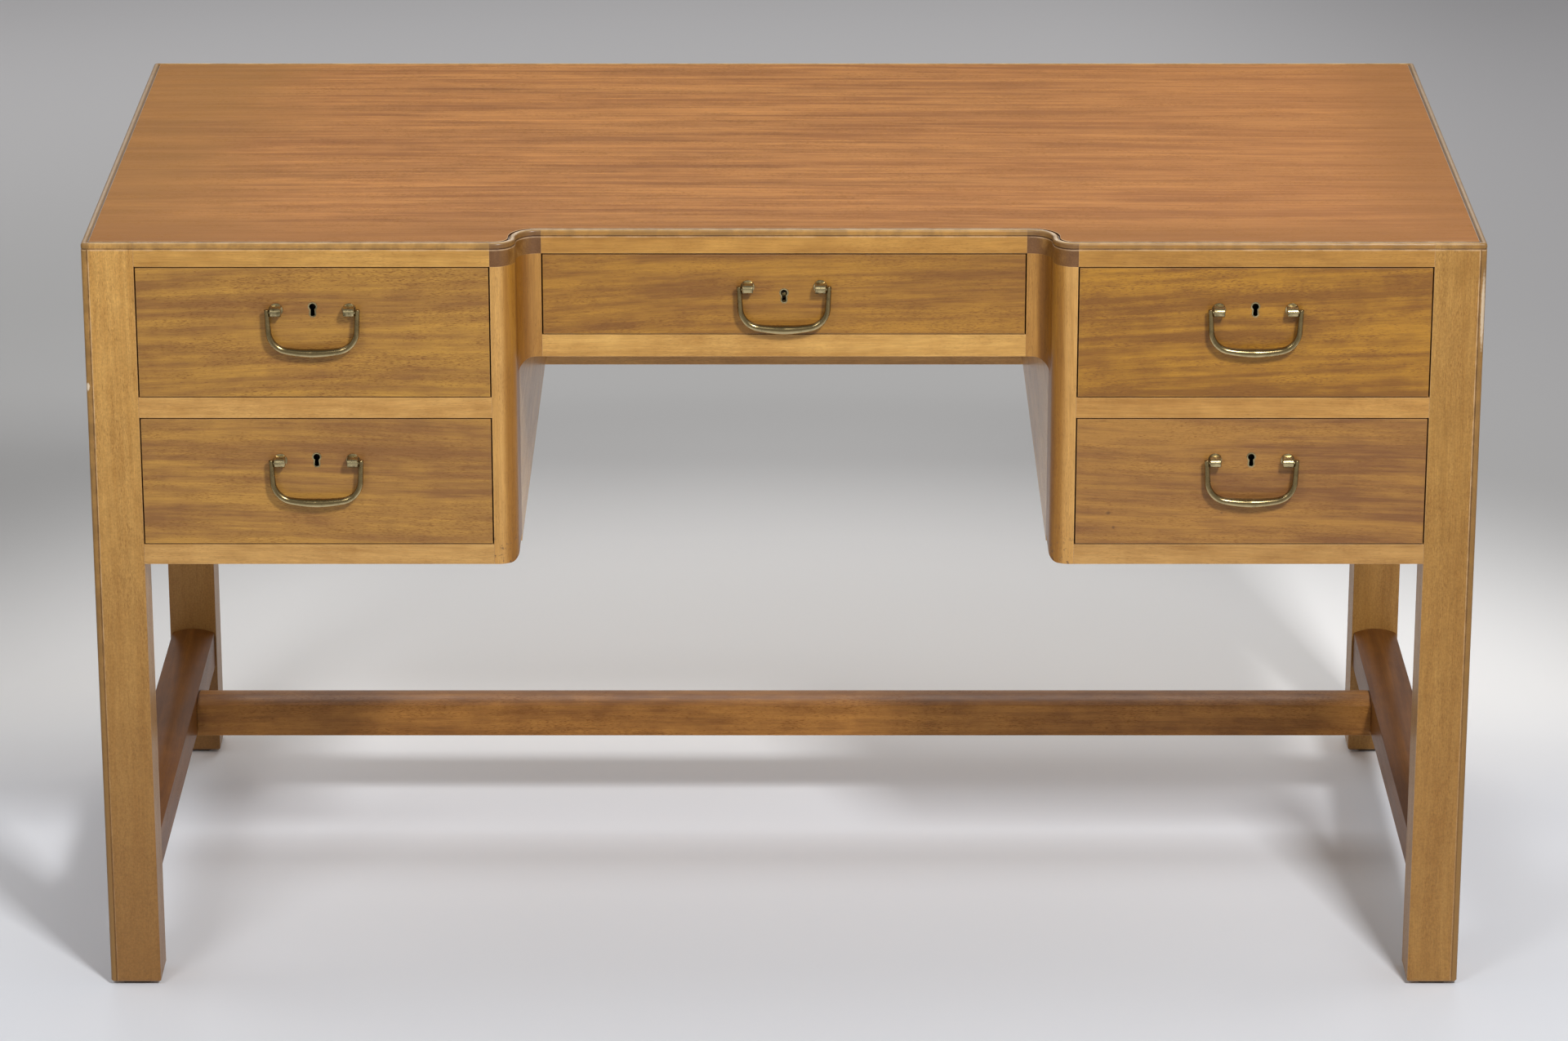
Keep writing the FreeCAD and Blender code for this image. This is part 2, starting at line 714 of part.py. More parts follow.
def bail(x, y, z):
    """A bar bent to a flat D, thickest in the grip, with a pin turned inwards at each end."""
    last = len(BAIL_PATH) - 1
    right = []
    for index, (at_x, at_z, angle) in enumerate(BAIL_PATH):
        swell = (1 - index / last) ** 2
        right.append((at_x, at_z, angle, bail_bar_radius + (bail_grip_radius - bail_bar_radius) * swell))
    end_x, end_z, angle, radius = right.pop()
    right.append((end_x + bail_bar_radius * math.cos(angle), end_z + bail_bar_radius * math.sin(angle),
                  angle, radius))
    left = [(-at_x, at_z, -angle, radius) for at_x, at_z, angle, radius in reversed(right[1:])]
    bow = Part.makeLoft([bail_section(*station) for station in left + right], True, True)
    pin_start = barrel_outer_x - bail_pin_reach
    pins = [pin(Vector(side * pin_start, 0, 0), side * (bail_half_width - pin_start), bail_pin_radius)
            for side in (1, -1)]
    bow = bow.fuse(pins)
    bow.translate(Vector(x, y, z))
    return bow


def handle_posts(x, y0, z):
    """Two posts, each a round flange and a lug with a round nose, bored for the bail's pin."""
    axis_y = y0 - post_standoff
    posts = []
    for side in (1, -1):
        lug_x = x + min(side * barrel_inner_x, side * barrel_outer_x)
        nose = [point for point in ring_points(Vector(lug_x, axis_y, z), Vector(0, -1, 0), Vector(0, 0, 1),
                                               barrel_radius) if point.y <= axis_y]
        nose.sort(key=lambda point: point.z)
        profile = nose + [Vector(lug_x, y0, z + barrel_radius), Vector(lug_x, y0, z - barrel_radius)]
        lug = prism(profile, Vector(barrel_length, 0, 0))
        flange = prism(ring_points(Vector(lug_x + barrel_length / 2, y0, z), Vector(1, 0, 0),
                                   Vector(0, 0, 1), post_flange_radius),
                       Vector(0, -post_flange_thickness, 0))
        bore = pin(Vector(x + side * (barrel_outer_x + overrun), axis_y, z),
                   -side * (bail_pin_reach + overrun + barrel_gap), bail_pin_radius + bail_pin_gap)
        posts.append(lug.fuse(flange).cut(bore))
    return posts


def drawers():
    for side, low_x, high_x in (("left", -leg_inner_x, -panel_x), ("right", panel_x, leg_inner_x)):
        drawer("upper_" + side + "_drawer", low_x, high_x, front_y, middle_rail_top_z, top_rail_z,
               pedestal_pivot_drop)
        drawer("lower_" + side + "_drawer", low_x, high_x, front_y, bottom_rail_top_z, middle_rail_z,
               pedestal_pivot_drop)
    drawer("centre_drawer", -centre_opening_half_width, centre_opening_half_width, recess_y,
           centre_rail_top_z, top_rail_z, centre_pivot_drop)


def build():
    front_rails()
    curved_corner()
    stretchers()
    panels()
    legs()
    foot_glides()
    drawer_runners()
    drawer_kickers()
    drawer_stops()
    drawers()
    os.makedirs("parts", exist_ok=True)
    for name, solids in nodes.items():
        shape = solids[0] if len(solids) == 1 else Part.makeCompound(solids)
        shape.exportStep("parts/" + name + ".step")
    print(len(nodes), "nodes")


build()
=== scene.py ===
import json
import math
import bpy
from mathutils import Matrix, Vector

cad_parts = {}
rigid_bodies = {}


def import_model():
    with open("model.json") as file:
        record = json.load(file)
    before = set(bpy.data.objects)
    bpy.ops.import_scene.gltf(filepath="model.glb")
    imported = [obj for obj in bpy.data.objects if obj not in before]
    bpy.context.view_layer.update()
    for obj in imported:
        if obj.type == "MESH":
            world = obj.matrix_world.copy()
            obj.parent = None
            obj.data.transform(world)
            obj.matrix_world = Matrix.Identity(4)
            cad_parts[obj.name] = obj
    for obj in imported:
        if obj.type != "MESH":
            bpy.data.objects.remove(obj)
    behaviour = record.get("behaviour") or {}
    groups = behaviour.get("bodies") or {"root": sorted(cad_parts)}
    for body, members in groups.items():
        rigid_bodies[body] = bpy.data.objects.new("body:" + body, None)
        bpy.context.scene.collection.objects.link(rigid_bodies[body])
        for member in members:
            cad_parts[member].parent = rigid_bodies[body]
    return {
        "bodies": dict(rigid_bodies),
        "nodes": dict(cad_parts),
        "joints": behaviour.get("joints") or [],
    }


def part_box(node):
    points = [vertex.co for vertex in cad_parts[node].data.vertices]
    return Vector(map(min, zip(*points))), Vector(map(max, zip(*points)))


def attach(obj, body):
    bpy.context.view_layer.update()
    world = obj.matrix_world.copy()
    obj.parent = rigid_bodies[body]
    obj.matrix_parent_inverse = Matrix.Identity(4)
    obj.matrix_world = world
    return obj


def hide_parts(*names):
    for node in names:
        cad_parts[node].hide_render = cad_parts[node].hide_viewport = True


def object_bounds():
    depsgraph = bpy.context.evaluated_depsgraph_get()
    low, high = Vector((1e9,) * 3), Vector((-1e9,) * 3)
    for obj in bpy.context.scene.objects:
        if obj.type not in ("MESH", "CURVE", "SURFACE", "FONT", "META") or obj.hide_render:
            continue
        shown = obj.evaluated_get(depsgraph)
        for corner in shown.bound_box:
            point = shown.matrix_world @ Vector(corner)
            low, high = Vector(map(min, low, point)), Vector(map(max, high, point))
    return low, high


bl_info = {
    "name": "Kneehole Writing Desk",
    "version": (1, 0, 0),
    "blender": (4, 5, 0),
    "location": "3D View > Sidebar > Desk",
    "description": "Dresses a kneehole writing desk in polished wood and aged brass, in a plain studio",
    "category": "Object",
}

import bmesh
import bpy
from bpy.props import FloatProperty, FloatVectorProperty, PointerProperty
from mathutils import Vector

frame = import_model()
CAD_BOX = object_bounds()

MM = 0.001
DRAWERS = [name for name in frame["bodies"] if name.endswith("_drawer")]
PIVOTS = {joint["child"]: Vector(joint["pos_m"]) for joint in frame["joints"] if joint["type"] == "hinge"}
FRONT_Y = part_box("front_leg_left")[0].y
X = Vector((1, 0, 0))
Y = Vector((0, 1, 0))
Z = Vector((0, 0, 1))

# The turns that lay the grain's direction along the X axis of the grain pattern
ACROSS = (0.0, 0.0, 0.0)
UPRIGHT = (0.0, math.radians(90), 0.0)
BACKWARDS = (0.0, 0.0, math.radians(-90))

# The moulding's bands, in millimetres in from the outer faces of rim and legs
BEAD = 5.0
QUIRK = (4.9, 6.1)
RIM_ARRIS = (6.1, 7.2)
LEG_ARRIS = (6.1, 7.0)
INNER_QUIRK = (1.3, 2.1)
FACE_REACH = 1.5

# Colours that stand in small places
RED_END = (0.53, 0.205, 0.055)
TOP_BORDER = (0.32, 0.125, 0.022)
# Grime and painted shade, darkening the legs towards the floor
LEG_GRIME_AND_SHADE = (0.190, 0.083, 0.021)
TOE_DIRT = (0.12, 0.06, 0.03)
BARE_WOOD = (0.80, 0.66, 0.48)
DEEP_END_GRAIN = (0.145, 0.062, 0.018)
KNOT = (0.10, 0.045, 0.018)
KEYHOLE_DARK = (0.012, 0.009, 0.007)
GLIDE_DARK = (0.035, 0.026, 0.022)
GLIDE_PALE = (0.075, 0.06, 0.05)
STEEL_BRIGHT = (0.42, 0.41, 0.39)
STEEL_DULL = (0.25, 0.24, 0.23)
# Painted falloff of light on the floor to the right and far behind the desk
DIM_FLOOR = (0.42, 0.41, 0.42)

# Bare patches on the front legs: sideways place, height, how much it is drawn out upwards, and strength
BARE_PATCHES = ((-0.6385, 0.598, 0.5, 0.9), (0.6380, 0.670, 0.055, 0.6))


# Building node trees

def make_node(tree, kind, **settings):
    """A new node with its settings, and its inputs taken from the entries that name a socket."""
    node = tree.nodes.new(kind)
    inputs = settings.pop("inputs", {})
    for key, value in settings.items():
        setattr(node, key, value)
    for key, value in inputs.items():
        feed(tree, node, key, value)
    return node


def feed(tree, node, key, value):
    """Links a socket to the input, or sets its value."""
    socket = node.inputs[key]
    if isinstance(value, bpy.types.NodeSocket):
        tree.links.new(value, socket)
    elif socket.type == "RGBA" and hasattr(value, "__len__") and len(value) == 3:
        socket.default_value = (*value, 1.0)
    else:
        socket.default_value = value


def arithmetic(tree, operation, *values, clamp=False):
    node = make_node(tree, "ShaderNodeMath", operation=operation, use_clamp=clamp)
    for index, value in enumerate(values):
        feed(tree, node, index, value)
    return node.outputs[0]


def times(tree, first, second, clamp=False):
    return arithmetic(tree, "MULTIPLY", first, second, clamp=clamp)


def plus(tree, first, second):
    return arithmetic(tree, "ADD", first, second)


def minus(tree, first, second):
    return arithmetic(tree, "SUBTRACT", first, second)


def larger(tree, first, second):
    return arithmetic(tree, "MAXIMUM", first, second)


def magnitude(tree, value):
    return arithmetic(tree, "ABSOLUTE", value)


def on_vectors(tree, operation, *vectors):
    """A vector operation, which puts out a number where it is a length or a product."""
    node = make_node(tree, "ShaderNodeVectorMath", operation=operation)
    for index, vector in enumerate(vectors):
        feed(tree, node, index, vector)
    return node.outputs["Value" if operation in ("LENGTH", "DISTANCE", "DOT_PRODUCT") else "Vector"]


def axes_of(tree, vector):
    """The X, Y and Z outputs of a vector."""
    return make_node(tree, "ShaderNodeSeparateXYZ", inputs={0: vector}).outputs


def facing(tree, kind="Normal"):
    """X, Y and Z of the direction that the surface faces."""
    return axes_of(tree, make_node(tree, "ShaderNodeNewGeometry").outputs[kind])


def remap(tree, value, low, high, to_low=0.0, to_high=1.0):
    node = make_node(tree, "ShaderNodeMapRange", interpolation_type="SMOOTHSTEP", inputs={
        "Value": value, "From Min": low, "From Max": high, "To Min": to_low, "To Max": to_high})
    return node.outputs["Result"]


def blend(tree, share, first, second, kind="MIX"):
    node = make_node(tree, "ShaderNodeMix", data_type="RGBA", blend_type=kind)
    feed(tree, node, 0, share)
    feed(tree, node, 6, first)
    feed(tree, node, 7, second)
    return node.outputs[2]


def noise(tree, place, scale, detail=2.0, roughness=0.5, seed=0.0, distortion=0.0):
    node = make_node(tree, "ShaderNodeTexNoise", noise_dimensions="4D", inputs={
        "Vector": place, "Scale": scale, "Detail": detail, "Roughness": roughness, "W": seed,
        "Distortion": distortion})
    return node.outputs["Fac"]


def varied(tree, colour, value, low, high, darkest, lightest):
    """A colour that goes from darker to lighter as the value goes from low to high."""
    return blend(tree, 1.0, colour, remap(tree, value, low, high, darkest, lightest), "MULTIPLY")


def deepened(tree, share, colour, by):
    """A colour darkened channel by channel where the share is high."""
    return blend(tree, share, colour, blend(tree, 1.0, colour, by, "MULTIPLY"))


def emboss(tree, shader, height, strength, distance):
    """Gives the shader the fine relief of a height."""
    bump = make_node(tree, "ShaderNodeBump", inputs={"Strength": strength, "Distance": distance,
                                                     "Height": height})
    feed(tree, shader, "Normal", bump.outputs[0])


SOCKET_TYPES = {"vector": "NodeSocketVector", "value": "NodeSocketFloat", "colour": "NodeSocketColor"}


def new_group(name, inputs, outputs):
    """A shader node group with named inputs and outputs, and its two end nodes."""
    group = bpy.data.node_groups.new(name, "ShaderNodeTree")
    for label, kind, default in inputs:
        socket = group.interface.new_socket(label, in_out="INPUT", socket_type=SOCKET_TYPES[kind])
        socket.default_value = (*default, 1.0) if kind == "colour" else default
    for label, kind in outputs:
        group.interface.new_socket(label, in_out="OUTPUT", socket_type=SOCKET_TYPES[kind])
    return group, group.nodes.new("NodeGroupInput").outputs, group.nodes.new("NodeGroupOutput")


def place_group(tree, group, **inputs):
    node = make_node(tree, "ShaderNodeGroup", node_tree=group)
    for key, value in inputs.items():
        feed(tree, node, key.replace("_", " "), value)
    return node.outputs


# Shared effects

# Marks in the grain: share of their place along it, scale across it, detail and roughness of the noise
TONES = {"Bands": (0.09, 30.0, 3.0, 0.6), "Streaks": (0.03, 150.0, 5.0, 0.65),
         "Mottle": (0.6, 60.0, 3.0, 0.55)}
FIBRES = (0.045, 900.0, 3.0, 0.6)
DASHES = (0.12, 2000.0, 1.5, 0.55)
CLUSTERS = (0.2, 60.0, 3.0, 0.55)
TONE_CONTRAST = 4.5
PORE_SOFTNESS = 0.14


def grain_group():
    """Straight-grained wood along X: slow bands, streaks, a mottle across the grain and short dark pores."""
    group, given, put = new_group("Wood grain", [
        ("Place", "vector", (0.0, 0.0, 0.0)), ("Seed", "value", 0.0),
        ("Pale", "colour", (0.50, 0.29, 0.11)), ("Deep", "colour", (0.33, 0.17, 0.06)),
        ("Pore", "colour", (0.14, 0.06, 0.02)), ("Bands", "value", 0.5), ("Streaks", "value", 0.5),
        ("Mottle", "value", 0.3), ("Pores", "value", 0.5),
    ], [("Color", "colour"), ("Roughness", "value"), ("Height", "value")])
    seed = given["Seed"]
    drift = noise(group, on_vectors(group, "MULTIPLY", given["Place"], (0.35, 1.0, 1.0)), 3.2, seed=seed)
    drift = times(group, minus(group, drift, 0.5), 0.05)
    shift = make_node(group, "ShaderNodeCombineXYZ", inputs={"Y": drift, "Z": drift}).outputs[0]
    bent = on_vectors(group, "ADD", given["Place"], shift)

    def marks(share, scale, detail, roughness, distortion=0.0):
        """Marks along the grain: a smaller share gives longer marks."""
        drawn_out = on_vectors(group, "MULTIPLY", bent, (share, 1.0, 1.0))
        return noise(group, drawn_out, scale, detail, roughness, seed, distortion)

    tone = 0.0
    for strength, kind in TONES.items():
        swing = minus(group, marks(*kind), 0.5)
        tone = plus(group, tone, times(group, swing, given[strength]))
    tone = arithmetic(group, "MULTIPLY_ADD", tone, TONE_CONTRAST, 0.5, clamp=True)
    fibres = marks(*FIBRES)
    colour = blend(group, tone, given["Pale"], given["Deep"])
    colour = varied(group, colour, fibres, 0.3, 0.7, 0.90, 1.10)

    dashes = marks(*DASHES, distortion=0.3)
    clusters = marks(*CLUSTERS)
    limit = remap(group, clusters, 0.38, 0.62, 0.60, 0.49)
    pore = arithmetic(group, "DIVIDE", minus(group, dashes, limit), PORE_SOFTNESS, clamp=True)
    pore = times(group, pore, given["Pores"], clamp=True)
    feed(group, put, "Color", blend(group, pore, colour, given["Pore"]))
    feed(group, put, "Roughness", arithmetic(group, "MULTIPLY_ADD", pore, 0.2, 0.37))
    feed(group, put, "Height", minus(group, times(group, fibres, 0.25), pore))
    return group


def wear_group():
    """A mask of arrises that have been rubbed, broken up by noise."""
    group, given, put = new_group("Edge wear", [
        ("Place", "vector", (0.0, 0.0, 0.0)), ("Reach", "value", 0.001), ("Patchiness", "value", 0.5),
    ], [("Mask", "value")])
    rounded = make_node(group, "ShaderNodeBevel", samples=4, inputs={"Radius": given["Reach"]}).outputs[0]
    flat = make_node(group, "ShaderNodeNewGeometry").outputs["Normal"]
    turn = minus(group, 1.0, on_vectors(group, "DOT_PRODUCT", rounded, flat))
    broken = remap(group, noise(group, given["Place"], 22.0, 4.0, 0.6), 0.35, 0.65)
    lost = times(group, given["Patchiness"], minus(group, 1.0, broken))
    edge = remap(group, turn, 0.02, 0.22)
    feed(group, put, "Mask", times(group, edge, minus(group, 1.0, lost), clamp=True))
    return group


def tarnish_group():
    """Cloudy tarnish and dark specks for brass that is handled every day."""
    group, given, put = new_group("Tarnish", [
        ("Place", "vector", (0.0, 0.0, 0.0)), ("Bright", "colour", (0.74, 0.64, 0.42)),
        ("Dull", "colour", (0.30, 0.23, 0.12)), ("Amount", "value", 0.4),
    ], [("Color", "colour"), ("Roughness", "value"), ("Height", "value")])
    place = given["Place"]
    clouds = remap(group, noise(group, place, 140.0, 4.0, 0.6), 0.35, 0.75)
    specks = remap(group, noise(group, place, 900.0), 0.62, 0.72)
    cover = larger(group, times(group, clouds, given["Amount"], clamp=True),
                   times(group, specks, given["Amount"], clamp=True))
    feed(group, put, "Color", blend(group, cover, given["Bright"], given["Dull"]))
    feed(group, put, "Roughness", arithmetic(group, "MULTIPLY_ADD", cover, 0.28, 0.2))
    feed(group, put, "Height", noise(group, place, 1500.0))
    return group


def shared(name, maker):
    """The shader node group of that name, made the first time it is asked for."""
    return bpy.data.node_groups.get(name) or maker()


# Materials

PLAIN = (1.0, 1.0, 1.0)


def shaded(colour, shade):
    """A colour of the panel, darkened or lightened channel by channel."""
    return tuple(part * amount for part, amount in zip(colour, shade))


def fresh_material(name):
    """A material with a Principled shader, its tree, and the place on the object as a vector."""
    material = bpy.data.materials.new(name)
    material.use_nodes = True
    tree = material.node_tree
    shader = tree.nodes["Principled BSDF"]
    place = make_node(tree, "ShaderNodeTexCoord").outputs["Object"]
    return material, tree, shader, place


def wood(name, turn, colours, shade=PLAIN, seed=0.0, bands=0.5, streaks=0.5, mottle=0.25, pores=0.5,
         wear=0.5, wear_reach=0.9, tint=None, coat=0.2, specular=0.4):
    """Polished wood between a pale and a deep colour. A tint function may change it from place to place."""
    material, tree, shader, place = fresh_material(name)
    woods = bpy.context.scene.desk_woods
    pale, deep = (shaded(colour, shade) for colour in colours)
    laid = make_node(tree, "ShaderNodeMapping", inputs={"Vector": place, "Rotation": turn}).outputs[0]
    grain = place_group(tree, shared("Wood grain", grain_group), Place=laid, Seed=seed, Pale=pale, Deep=deep,
                        Pore=woods.pore, Bands=bands, Streaks=streaks, Mottle=mottle, Pores=pores)
    worn = place_group(tree, shared("Edge wear", wear_group), Place=place, Reach=wear_reach * MM)
    colour = blend(tree, times(tree, worn["Mask"], wear), grain["Color"], woods.worn_edge)
    if tint:
        colour = tint(tree, place, colour)
    feed(tree, shader, "Base Color", colour)
    feed(tree, shader, "Roughness", grain["Roughness"])
    emboss(tree, shader, grain["Height"], 0.25, 0.2 * MM)
    shader.inputs["Coat Weight"].default_value = coat
    shader.inputs["Coat Roughness"].default_value = 0.22
    shader.inputs["Specular IOR Level"].default_value = specular
    return material


def brass(name, amount=0.4, tint=None):
    """Aged brass. A tint function may change its colour from place to place."""
    material, tree, shader, place = fresh_material(name)
    hardware = bpy.context.scene.desk_hardware
    aged = place_group(tree, shared("Tarnish", tarnish_group), Place=place, Bright=hardware.bright_brass,
                       Dull=hardware.dull_brass, Amount=amount)
    feed(tree, shader, "Base Color", tint(tree, place, aged["Color"]) if tint else aged["Color"])
    feed(tree, shader, "Roughness", aged["Roughness"])
    emboss(tree, shader, aged["Height"], 0.2, 0.05 * MM)
    shader.inputs["Metallic"].default_value = 1.0
    return material


def plain_metal(name, bright, dull, roughness):
    """Grey metal with a light mottle."""
    material, tree, shader, place = fresh_material(name)
    clouds = noise(tree, place, 260.0, 3.0, 0.6)
    feed(tree, shader, "Base Color", blend(tree, clouds, bright, dull))
    feed(tree, shader, "Roughness", remap(tree, clouds, 0.3, 0.7, roughness, roughness + 0.15))
    shader.inputs["Metallic"].default_value = 1.0
    return material


def pair(name):
    return (name + "_left", name + "_right")


def dress(nodes, material, arris=None, segments=2):
    """Gives pieces of the frame their material, and may ease their arrises by so many millimetres."""
    for node in nodes:
        for slot in frame["nodes"][node].material_slots:
            slot.material = material
        if arris:
            ease(node, arris, segments)


# Easing of sharp arrises, without touching the meshes of the frame

SAME_POINT = 0.004 * MM
SHARP_ANGLE = math.radians(24)
EASED_ANGLE = math.radians(26)
FLAT_ANGLE = math.radians(0.4)


def clean_group():
    """Joins split corners, drops the stored normals and marks the sharp edges."""
    group = bpy.data.node_groups.new("Joined corners", "GeometryNodeTree")
    group.interface.new_socket("Geometry", in_out="INPUT", socket_type="NodeSocketGeometry")
    group.interface.new_socket("Geometry", in_out="OUTPUT", socket_type="NodeSocketGeometry")
    start = group.nodes.new("NodeGroupInput").outputs[0]
    end = group.nodes.new("NodeGroupOutput")
    bare = make_node(group, "GeometryNodeRemoveAttribute", inputs={"Geometry": start,
                                                                   "Name": "custom_normal"})
    joined = make_node(group, "GeometryNodeMergeByDistance", inputs={"Geometry": bare.outputs[0],
                                                                    "Distance": SAME_POINT})
    angle = make_node(group, "GeometryNodeInputMeshEdgeAngle").outputs["Unsigned Angle"]
    sharp = make_node(group, "FunctionNodeCompare", operation="LESS_THAN", inputs={0: angle, 1: SHARP_ANGLE})
    faces = make_node(group, "GeometryNodeSetShadeSmooth", domain="FACE",
                      inputs={"Geometry": joined.outputs[0], "Shade Smooth": True})
    edges = make_node(group, "GeometryNodeSetShadeSmooth", domain="EDGE",
                      inputs={"Geometry": faces.outputs[0], "Shade Smooth": sharp.outputs[0]})
    feed(group, end, 0, edges.outputs[0])
    return group


def ease(node, width, segments=2):
    """Small rounds on the sharp edges of a piece of the frame."""
    piece = frame["nodes"][node]
    clean = piece.modifiers.new("Joined corners", "NODES")
    clean.node_group = bpy.data.node_groups.get("Joined corners") or clean_group()
    flat = piece.modifiers.new("Flat faces", "DECIMATE")
    flat.decimate_type = "DISSOLVE"
    flat.angle_limit = FLAT_ANGLE
    bevel = piece.modifiers.new("Eased arris", "BEVEL")
    bevel.width = width * MM
    bevel.segments = segments
    bevel.limit_method = "ANGLE"
    bevel.angle_limit = EASED_ANGLE
    bevel.use_clamp_overlap = False
    bevel.harden_normals = True


# Sizes and colours that a user would change

def paint(name, description, default):
    return FloatVectorProperty(name=name, description=description, default=default, subtype="COLOR", size=3,
                               min=0.0, max=1.0)


def measure(name, description, default):
    return FloatProperty(name=name, description=description, default=default, subtype="DISTANCE",
                         unit="LENGTH")


class DeskWoods(bpy.types.PropertyGroup):
    top_pale: paint("Top, pale grain", "Pale bands of the desk top", (0.54, 0.226, 0.054))
    top_deep: paint("Top, deep grain", "Deep bands of the desk top", (0.32, 0.117, 0.024))
    top_faded: paint("Top, faded", "Left end of the top, turned yellow by light", (0.34, 0.147, 0.026))
    case_pale: paint("Case, pale grain", "Pale bands of rails, legs and posts", (0.66, 0.37, 0.108))
    case_deep: paint("Case, deep grain", "Deep bands of rails, legs and posts", (0.44, 0.218, 0.052))
    front_pale: paint("Drawer, pale grain", "Pale bands of the drawer fronts", (0.54, 0.268, 0.055))
    front_deep: paint("Drawer, deep grain", "Deep bands of the drawer fronts", (0.31, 0.135, 0.038))
    stretcher_pale: paint("Stretcher, pale grain", "Pale bands of the stretchers", (0.39, 0.175, 0.040))
    stretcher_deep: paint("Stretcher, deep grain", "Deep bands of the stretchers", (0.225, 0.092, 0.022))
    block_face: paint("End grain, face", "End grain seen on the blocks' flat faces", (0.175, 0.080, 0.028))
    block_curve: paint("End grain, curve", "Side grain in the blocks' curve", (0.17, 0.068, 0.010))
    lining_pale: paint("Lining, pale grain", "Pale bands of drawer sides and bottoms", (0.60, 0.42, 0.21))
    lining_deep: paint("Lining, deep grain", "Deep bands of drawer sides and bottoms", (0.45, 0.29, 0.13))
    pore: paint("Pores", "Short dark lines in the grain", (0.19, 0.070, 0.010))
    bead: paint("Beads", "Handled mouldings on the rim and the legs", (0.24, 0.128, 0.038))
    # Painted highlight on top of the rim's bead, partly rubbed pale
    crest_highlight: paint("Bead crests", "Top of the rim's bead, rubbed pale", (0.58, 0.38, 0.17))
    # Grime and painted shade in the quirks beside the beads, also used as painted shade on the top panel's
    # sides
    quirk_dirt_and_shade: paint("Quirks", "Dirt in the grooves beside the beads", (0.06, 0.022, 0.008))
    worn_edge: paint("Worn edges", "Rubbed arrises", (0.72, 0.50, 0.30))


class DeskHardware(bpy.types.PropertyGroup):
    bright_brass: paint("Bright brass", "Brass where hands keep it clean", (0.60, 0.49, 0.265))
    dull_brass: paint("Dull brass", "Brass where it has tarnished", (0.125, 0.098, 0.046))
    grip_radius: measure("Grip radius", "Radius of the bail at its middle", 4.38 * MM)
    bar_radius: measure("Bar radius", "Radius of the bail at its ends", 2.4 * MM)
    bail_drop: measure("Bail drop", "From the pivot to the middle of the grip", 39.3 * MM)
    grip_bow: measure("Grip bow", "Radius of the gentle curve along the grip", 142.0 * MM)
    corner_bend: measure("Corner bend", "Radius of the bail's two corners", 19.7 * MM)
    pin_radius: measure("Pin radius", "Radius of the pins that carry the bail", 1.5 * MM)
    barrel_radius: measure("Barrel radius", "Radius of the posts' rounded noses", 4.53 * MM)
    barrel_length: measure("Barrel length", "Width of the posts along the pin", 9.9 * MM)
    barrel_gap: measure("Barrel gap", "Between a post and the bail beside it", 0.5 * MM)
    standoff: measure("Standoff", "From the drawer's face to the pivot", 8.0 * MM)
    flange_radius: measure("Flange radius", "Radius of the posts' round feet", 6.4 * MM)
    flange_thickness: measure("Flange thickness", "Thickness of the posts' round feet", 1.5 * MM)


class DeskStudio(bpy.types.PropertyGroup):
    camera_height: measure("Camera height", "Above the floor", 2.2044)
    camera_distance: measure("Camera distance", "From the desk's front", 4.9905)
    camera_tilt: FloatProperty(name="Camera tilt", description="Down from level",
                               default=math.radians(19.182), subtype="ANGLE", unit="ROTATION")
    focal_length: FloatProperty(name="Focal length", description="In millimetres on a 36 mm sensor",
                                default=131.21, unit="CAMERA")
    # The floor's colours paint its light: a painted pool of light just behind the desk, a painted dimmer ring
    # a few steps away, and a paler floor far behind
    floor_near: paint("Floor, near", "Floor round the desk", (0.78, 0.80, 0.845))
    floor_behind: paint("Floor, behind", "Floor just behind the desk", (1.0, 0.995, 0.99))
    floor_middle: paint("Floor, middle", "Floor a few steps away", (0.46, 0.455, 0.45))
    floor_far: paint("Floor, far", "Floor far behind the desk", (0.76, 0.745, 0.75))
    world_low: FloatProperty(name="World, low", description="Light from near the horizon", default=0.46)
    world_high: FloatProperty(name="World, high", description="Light from overhead", default=0.18)


# Tints

# Heights on the legs, in metres: where their lines fade, and where their beads darken
LINES_FADE = (0.20, 0.50)
FEET_DARKEN = (0.15, 0.50)
# Height on the legs up to which grime and painted shade darken them
GRIME_AND_SHADE_TOP = 0.98
# Distances from the ends of the rim over which its bead changes
RIM_ENDS = (6.0 * MM, 9.0 * MM)
# Sideways places on the top where it is bleached, turns redder and darkens, and the depth of its dark front
BLEACHED = (-0.42, -0.22)
REDDER = (-0.1, 0.6)
DARK_RIGHT = (0.50, 0.62)
DARK_FRONT = (FRONT_Y + 0.12, FRONT_Y + 0.02)
# Painted shade in the posts' hollows: what it does to each channel, at their sides and in their depth
HOLLOW_SIDE_SHADE = (0.60, 0.48, 0.20)
HOLLOW_DEPTH_SHADE = (0.74, 0.66, 0.50)
# What the painted shade on the upper side of the bails does to each channel
SHADE_ABOVE = (0.46, 0.42, 0.36)


